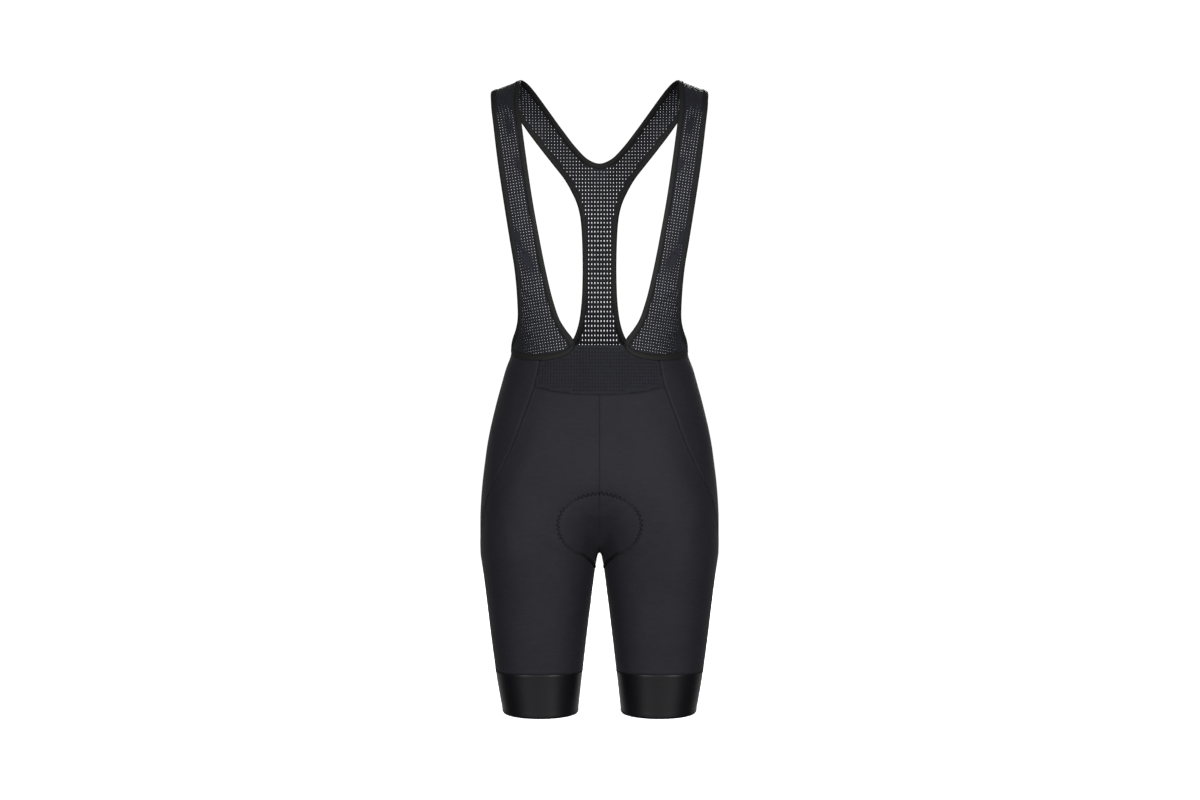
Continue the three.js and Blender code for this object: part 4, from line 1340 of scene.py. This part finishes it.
yoke_places, yoke_faces = open_mesh(relaxed(yoke_outline), yoke_pitch, yoke_hole, 0, yoke_hole_size)
yoke_folds = [
    (0.000, 0.200, 0, 0.020, 0.0100, 0.0006),
    (0.030, 0.400, 35, 0.030, 0.0080, 0.0010),
    (-0.034, 0.404, -35, 0.030, 0.0080, 0.0010),
    (0.130, 0.000, 0, 0.060, 0.0080, -0.0009),
    (-0.130, 0.000, 0, 0.060, 0.0080, -0.0009),
]
yoke_patch = mesh_patch(drawn_out(yoke_places), yoke_faces, yoke_folds, mesh_thickness)
back_yoke = sewn("back_yoke_mesh", [yoke_patch], strap_mesh)
dress(back_yoke, "strap_mesh", "back_yoke")

# Waist insert: a closer mesh panel with a plain folded top edge, sewn in between the strap feet. It
# gives at the front of the waist, and a thin lining behind it makes its small holes show dark.

insert_pitch = (0.0042, 0.0048)
insert_hole = (0.0014, 0.0016)
insert_hem = 0.0045
insert_thickness = 0.0004
lining_depth = 0.0009
lining_thickness = 0.0003
insert_top_share = 0.245
insert_corner_level = -0.437
insert_top_shares = np.linspace(-insert_top_share, insert_top_share, 120)
insert_top = share_on_sheet(insert_top_shares, top_at(np.abs(insert_top_shares)), False)
seam_shares = front_seam_at(insert_corner_level) * np.linspace(1, -1, 120)
insert_seam_levels = insert_seam_at(np.abs(seam_shares)) + seam_gap / 2
insert_bottom = share_on_sheet(seam_shares, insert_seam_levels, False)
insert_outline = np.concatenate([insert_top, insert_bottom])

# Where the insert is stretched and its holes open further: across and half-width
insert_stretches = [(-0.023, 0.011), (0.035, 0.009)]
resting_hole_share = 0.7
stretched_hole_share = 1.9


def insert_hole_size(places):
    stretched = sum(hump(places[:, 0] - across, width) for across, width in insert_stretches)
    return mix(resting_hole_share, stretched_hole_share, stretched)


insert_cloth = open_mesh(
    insert_outline, insert_pitch, insert_hole, 0, insert_hole_size, plain=insert_hem
)
lining_cloth = open_mesh(insert_outline, insert_pitch, insert_hole, 0, plain=math.inf)
insert_mesh = knit_cloth(
    "close waist mesh", (0.0155, 0.0158, 0.0205), 0.65, 0.10, 0.03, 0.0008, 0.0010, 0.00012, 0.10
)
insert_patch = mesh_patch(*insert_cloth, [], insert_thickness)
lining_patch = mesh_patch(*lining_cloth, [], lining_thickness, lining_depth)
waist_insert = sewn("waist_insert_mesh", [insert_patch, lining_patch], insert_mesh)
dress(waist_insert, "insert_mesh", "waist_insert")

# Bindings: folded elastic tape round the neck and both armholes. It is folded over the edge of the
# mesh, has fine ribs across it, and is held by a zigzag near its inner edge.

binding_width = 0.008
binding_step = 0.004
leaf_gap = 0.001

# Distance from the edge and depth inside the cloth: over the outside, round the fold and back
# along the inside, then the same way back between the two leaves
tape_rows = np.array(
    [
        (0.0080, -0.0003),
        (0.0077, -0.0007),
        (0.0045, -0.0009),
        (0.0018, -0.0008),
        (0.0006, -0.0004),
        (0.0000, 0.0004),
        (0.0006, 0.0013),
        (0.0020, 0.0017),
        (0.0050, 0.0018),
        (0.0077, 0.0016),
        (0.0080, 0.0012),
        (0.0074, 0.0010),
        (0.0022, 0.0010),
        (0.0014, 0.0004),
        (0.0022, -0.0001),
        (0.0074, -0.0001),
    ]
)


def tape(stations, closed):
    """A tape through stations, each once round its section. It is closed into a loop, or else
    capped at both ends."""
    points = np.asarray(stations)
    count, around = points.shape[:2]
    flat = points.reshape(-1, 3)
    rows = np.arange(count if closed else count - 1)[:, None]
    columns = np.arange(around)
    here = rows * around
    there = (rows + 1) % count * around
    after = (columns + 1) % around
    faces = np.stack([here + columns, here + after, there + after, there + columns], -1)
    run = run_along(points[:, 0])
    if closed:
        run = np.append(run, run[-1] + np.linalg.norm(points[0, 0] - points[-1, 0]))
    girth = run_along(points[0])
    girth = np.append(girth, girth[-1] + leaf_gap)
    places = []
    for row in rows[:, 0]:
        for column in columns:
            sides = ((row, column), (row, column + 1), (row + 1, column + 1), (row + 1, column))
            places.extend((girth[c], run[r]) for r, c in sides)
    all_faces = faces.reshape(-1, 4).tolist()
    if not closed:
        all_faces.append(list(range(around))[::-1])
        all_faces.append(list(range((count - 1) * around, count * around)))
        places.extend([(0.0, 0.0)] * (2 * around))
    return flat, all_faces, places


def look_outwards(points, faces):
    """True if the faces of a closed form look out of it, by the sign of its volume."""
    volume = 0.0
    for face in faces:
        for k in range(1, len(face) - 1):
            volume += np.dot(points[face[0]], np.cross(points[face[k]], points[face[k + 1]]))
    return volume > 0


def add_tape(name, stations, closed, finish):
    points, faces, places = tape(stations, closed)
    if not look_outwards(points, faces):
        turned = []
        start = 0
        for face in faces:
            turned.extend(reversed(places[start : start + len(face)]))
            start += len(face)
        places = turned
        faces = [face[::-1] for face in faces]
    return add_mesh(name, points, faces, places, finish)


binding_elastic = knit_cloth(
    "folded ribbed elastic", (0.0150, 0.0150, 0.0145), 0.60, 0.10, 0.0, 0.0040, 0.0014, 0.00007, 0.06
)


def edge_stations(edge_at, rows):
    """The tape's section at each of the rows along an edge of the upper cloth."""
    return np.stack([sheet(edge_at(rows, d), depth) for d, depth in tape_rows], axis=1)


def even_rows(edge_at, start, end, step):
    """Rows at even distances along an edge."""
    fine = np.linspace(start, end, 1200)
    run = run_along(sheet(edge_at(fine, binding_width / 2)))
    return np.interp(np.linspace(0, run[-1], round(run[-1] / step) + 1), run, fine)


neck_rows = even_rows(neck_edge, 0, centre_row, binding_step)
neck_rows[-1] = centre_row
neck_stations = edge_stations(neck_edge, neck_rows)
neck_stations = np.concatenate([neck_stations, neck_stations[-2::-1] * (-1, 1, 1)])
neck_binding = add_tape("neck_tape", neck_stations, False, binding_elastic)
dress(neck_binding, "elastic_binding", "neck_binding")

underarm_level = -0.385
underarm_length = float(ring_length(underarm_level))
underarm_line = smooth_line([(share * underarm_length, z) for share, z in underarm_rows])
underarm_counts = np.linspace(1, len(underarm_rows) - 2, 38)[1:-1]
underarm_stations = []
for distance, depth in tape_rows:
    edge = beside_line(underarm_line, underarm_counts, distance, -1)
    underarm_stations.append(skin(edge[:, 1], edge[:, 0] / underarm_length, depth))
arm_rows = even_rows(arm_edge, 0, base_row, binding_step)
arm_stations = np.concatenate([edge_stations(arm_edge, arm_rows), np.stack(underarm_stations, 1)])
for side, flip in (("left", 1), ("right", -1)):
    arm_binding = add_tape(f"armhole_tape_{side}", arm_stations * (flip, 1, 1), True, binding_elastic)
    dress(arm_binding, "elastic_binding", f"arm_binding_{side}")

tape_seam_width = 0.0022
stitch_inset = 0.0060
stitch_rise = 0.0009


def seam_on_sheet(places):
    line = sheet(places, -stitch_rise)
    out = (line - sheet(places)) / stitch_rise
    return needle_holes(line, out, seam_step, tape_seam_width)


neck_seam = seam_on_sheet(neck_edge(neck_rows, stitch_inset))
arm_seam = seam_on_sheet(arm_edge(arm_rows, stitch_inset))
underarm_across, underarm_levels = beside_line(underarm_line, underarm_counts, stitch_inset, -1).T
underarm_seam = seam_on_skin(
    underarm_levels, underarm_across / underarm_length, width=tape_seam_width, raised=stitch_rise
)
binding_sewing = sewing(
    "binding_stitches", both_sides([neck_seam, arm_seam, underarm_seam]), thread_thickness, thread
)
dress(binding_sewing, "elastic_binding")

# Foot bindings: a curved elastic tape laid over the seam under each strap foot, flat on the cloth
# and stitched along both edges. Its outer end is tucked under the armhole binding.

foot_tape_start = 0.106
foot_tape_end = 0.464
foot_tuck_depth = 0.0021
foot_tuck_start = 0.438
foot_tuck_end = 0.463
foot_seam_height = 0.0032
foot_seam_rise = 0.0019
foot_seam_step = 0.0022

# Height above the seam and depth inside the cloth, once round the tape
foot_tape_rows = np.array(
    [
        (-0.0045, -0.0004),
        (-0.0044, -0.0013),
        (-0.0036, -0.0018),
        (0.0000, -0.0020),
        (0.0036, -0.0018),
        (0.0044, -0.0013),
        (0.0045, -0.0004),
    ]
)
foot_shares = np.linspace(foot_tape_start, foot_tape_end, 80)
foot_levels = top_at(foot_shares)
foot_tuck = foot_tuck_depth * smooth_step(foot_tuck_start, foot_tuck_end, foot_shares)
foot_stations = np.stack(
    [skin(foot_levels + rise, foot_shares, depth + foot_tuck) for rise, depth in foot_tape_rows],
    axis=1,
)
for side, flip in (("left", 1), ("right", -1)):
    foot_tape = add_tape(f"foot_tape_{side}", foot_stations * (flip, 1, 1), False, binding_elastic)
    dress(foot_tape, "elastic_binding", f"foot_binding_{side}")

foot_seams = []
for height in (-foot_seam_height, foot_seam_height):
    foot_seams.append(
        seam_on_skin(
            foot_levels + height,
            foot_shares,
            step=foot_seam_step,
            width=0.0,
            raised=foot_seam_rise - foot_tuck,
        )
    )
foot_sewing = sewing("foot_tape_stitches", both_sides(foot_seams), thread_thickness, thread)
dress(foot_sewing, "elastic_binding")

# Studio: a plain white floor below the hems and a camera straight in front at waist height. Soft
# light comes from the front and both sides, from behind, and narrowly from above onto the stem.

floor_level = -0.96
floor_reach = 40
floor_mesh = bpy.data.meshes.new("floor")
floor_corners = [(-1, -1), (1, -1), (1, 1), (-1, 1)]
floor_points = [(floor_reach * x, floor_reach * y, floor_level) for x, y in floor_corners]
floor_mesh.from_pydata(floor_points, [], [(0, 1, 2, 3)])
floor = bpy.data.objects.new("floor", floor_mesh)
bpy.context.collection.objects.link(floor)
floor_white = bpy.data.materials.new("white floor")
floor_white.use_nodes = True
floor_shader = floor_white.node_tree.nodes["Principled BSDF"]
floor_shader.inputs["Base Color"].default_value = (0.85, 0.85, 0.85, 1)
floor_shader.inputs["Roughness"].default_value = 0.9
floor_shader.inputs["Emission Color"].default_value = (1, 1, 1, 1)
floor_shader.inputs["Emission Strength"].default_value = 0.9
floor_mesh.materials.append(floor_white)
floor.visible_diffuse = False
floor.visible_glossy = False

world = bpy.data.worlds.new("white studio")
bpy.context.scene.world = world
world.use_nodes = True
sky = world.node_tree.nodes["Background"]
sky.inputs["Color"].default_value = (1, 1, 1, 1)
direction = node(world.node_tree, "TexCoord").outputs["Generated"]
towards = node(world.node_tree, "SeparateXYZ", {"Vector": direction}).outputs["Y"]
from_sides = node(world.node_tree, "Math", {0: towards}, operation="ABSOLUTE")
ambient = node(
    world.node_tree,
    "MapRange",
    {
        "Value": from_sides.outputs[0],
        "From Min": 0.4,
        "From Max": 1.0,
        "To Min": 0.03,
        "To Max": 0.62,
    },
)
seen = node(world.node_tree, "LightPath").outputs["Is Camera Ray"]
brightness = node(
    world.node_tree,
    "Mix",
    {"Factor": seen, "A": ambient.outputs["Result"], "B": 1.05},
    data_type="FLOAT",
)
world.node_tree.links.new(brightness.outputs["Result"], sky.inputs["Strength"])


def soft_light(name, place, target, size, power, spread=180):
    light = bpy.data.lights.new(name, "AREA")
    light.shape = "RECTANGLE"
    light.size, light.size_y = size
    light.energy = power
    light.spread = math.radians(spread)
    lamp = bpy.data.objects.new(name, light)
    lamp.location = place
    direction = np.array(target) - np.array(place)
    flat_reach = math.hypot(direction[0], direction[1])
    tilt = math.pi / 2 + math.atan2(direction[2], flat_reach)
    lamp.rotation_euler = (tilt, 0, math.atan2(-direction[0], direction[1]))
    bpy.context.collection.objects.link(lamp)


soft_light("front light", (0.2, -3.4, 0.6), (0, 0, -0.5), (1.2, 1.2), 19)
soft_light("right light", (1.8, -2.9, -0.3), (0, 0, -0.6), (0.5, 1.2), 57)
soft_light("left light", (-1.8, -2.9, -0.3), (0, 0, -0.6), (0.5, 1.2), 44)
soft_light("back light", (0.4, 3.3, 1.0), (0, 0, -0.5), (1.6, 1.6), 130)
soft_light("stem light", (0, -1.6, 0.9), (0, 0.1, -0.32), (0.05, 0.05), 0.05, 8)

camera_data = bpy.data.cameras.new("camera")
camera_data.sensor_width = 36.0
camera_data.lens = 76.06
camera = bpy.data.objects.new("camera", camera_data)
camera.location = (0.0007, -3.6, -0.4544)
camera.rotation_euler = (math.pi / 2, 0, 0)
bpy.context.collection.objects.link(camera)
bpy.context.scene.camera = camera
bpy.context.scene.view_settings.view_transform = "Standard"
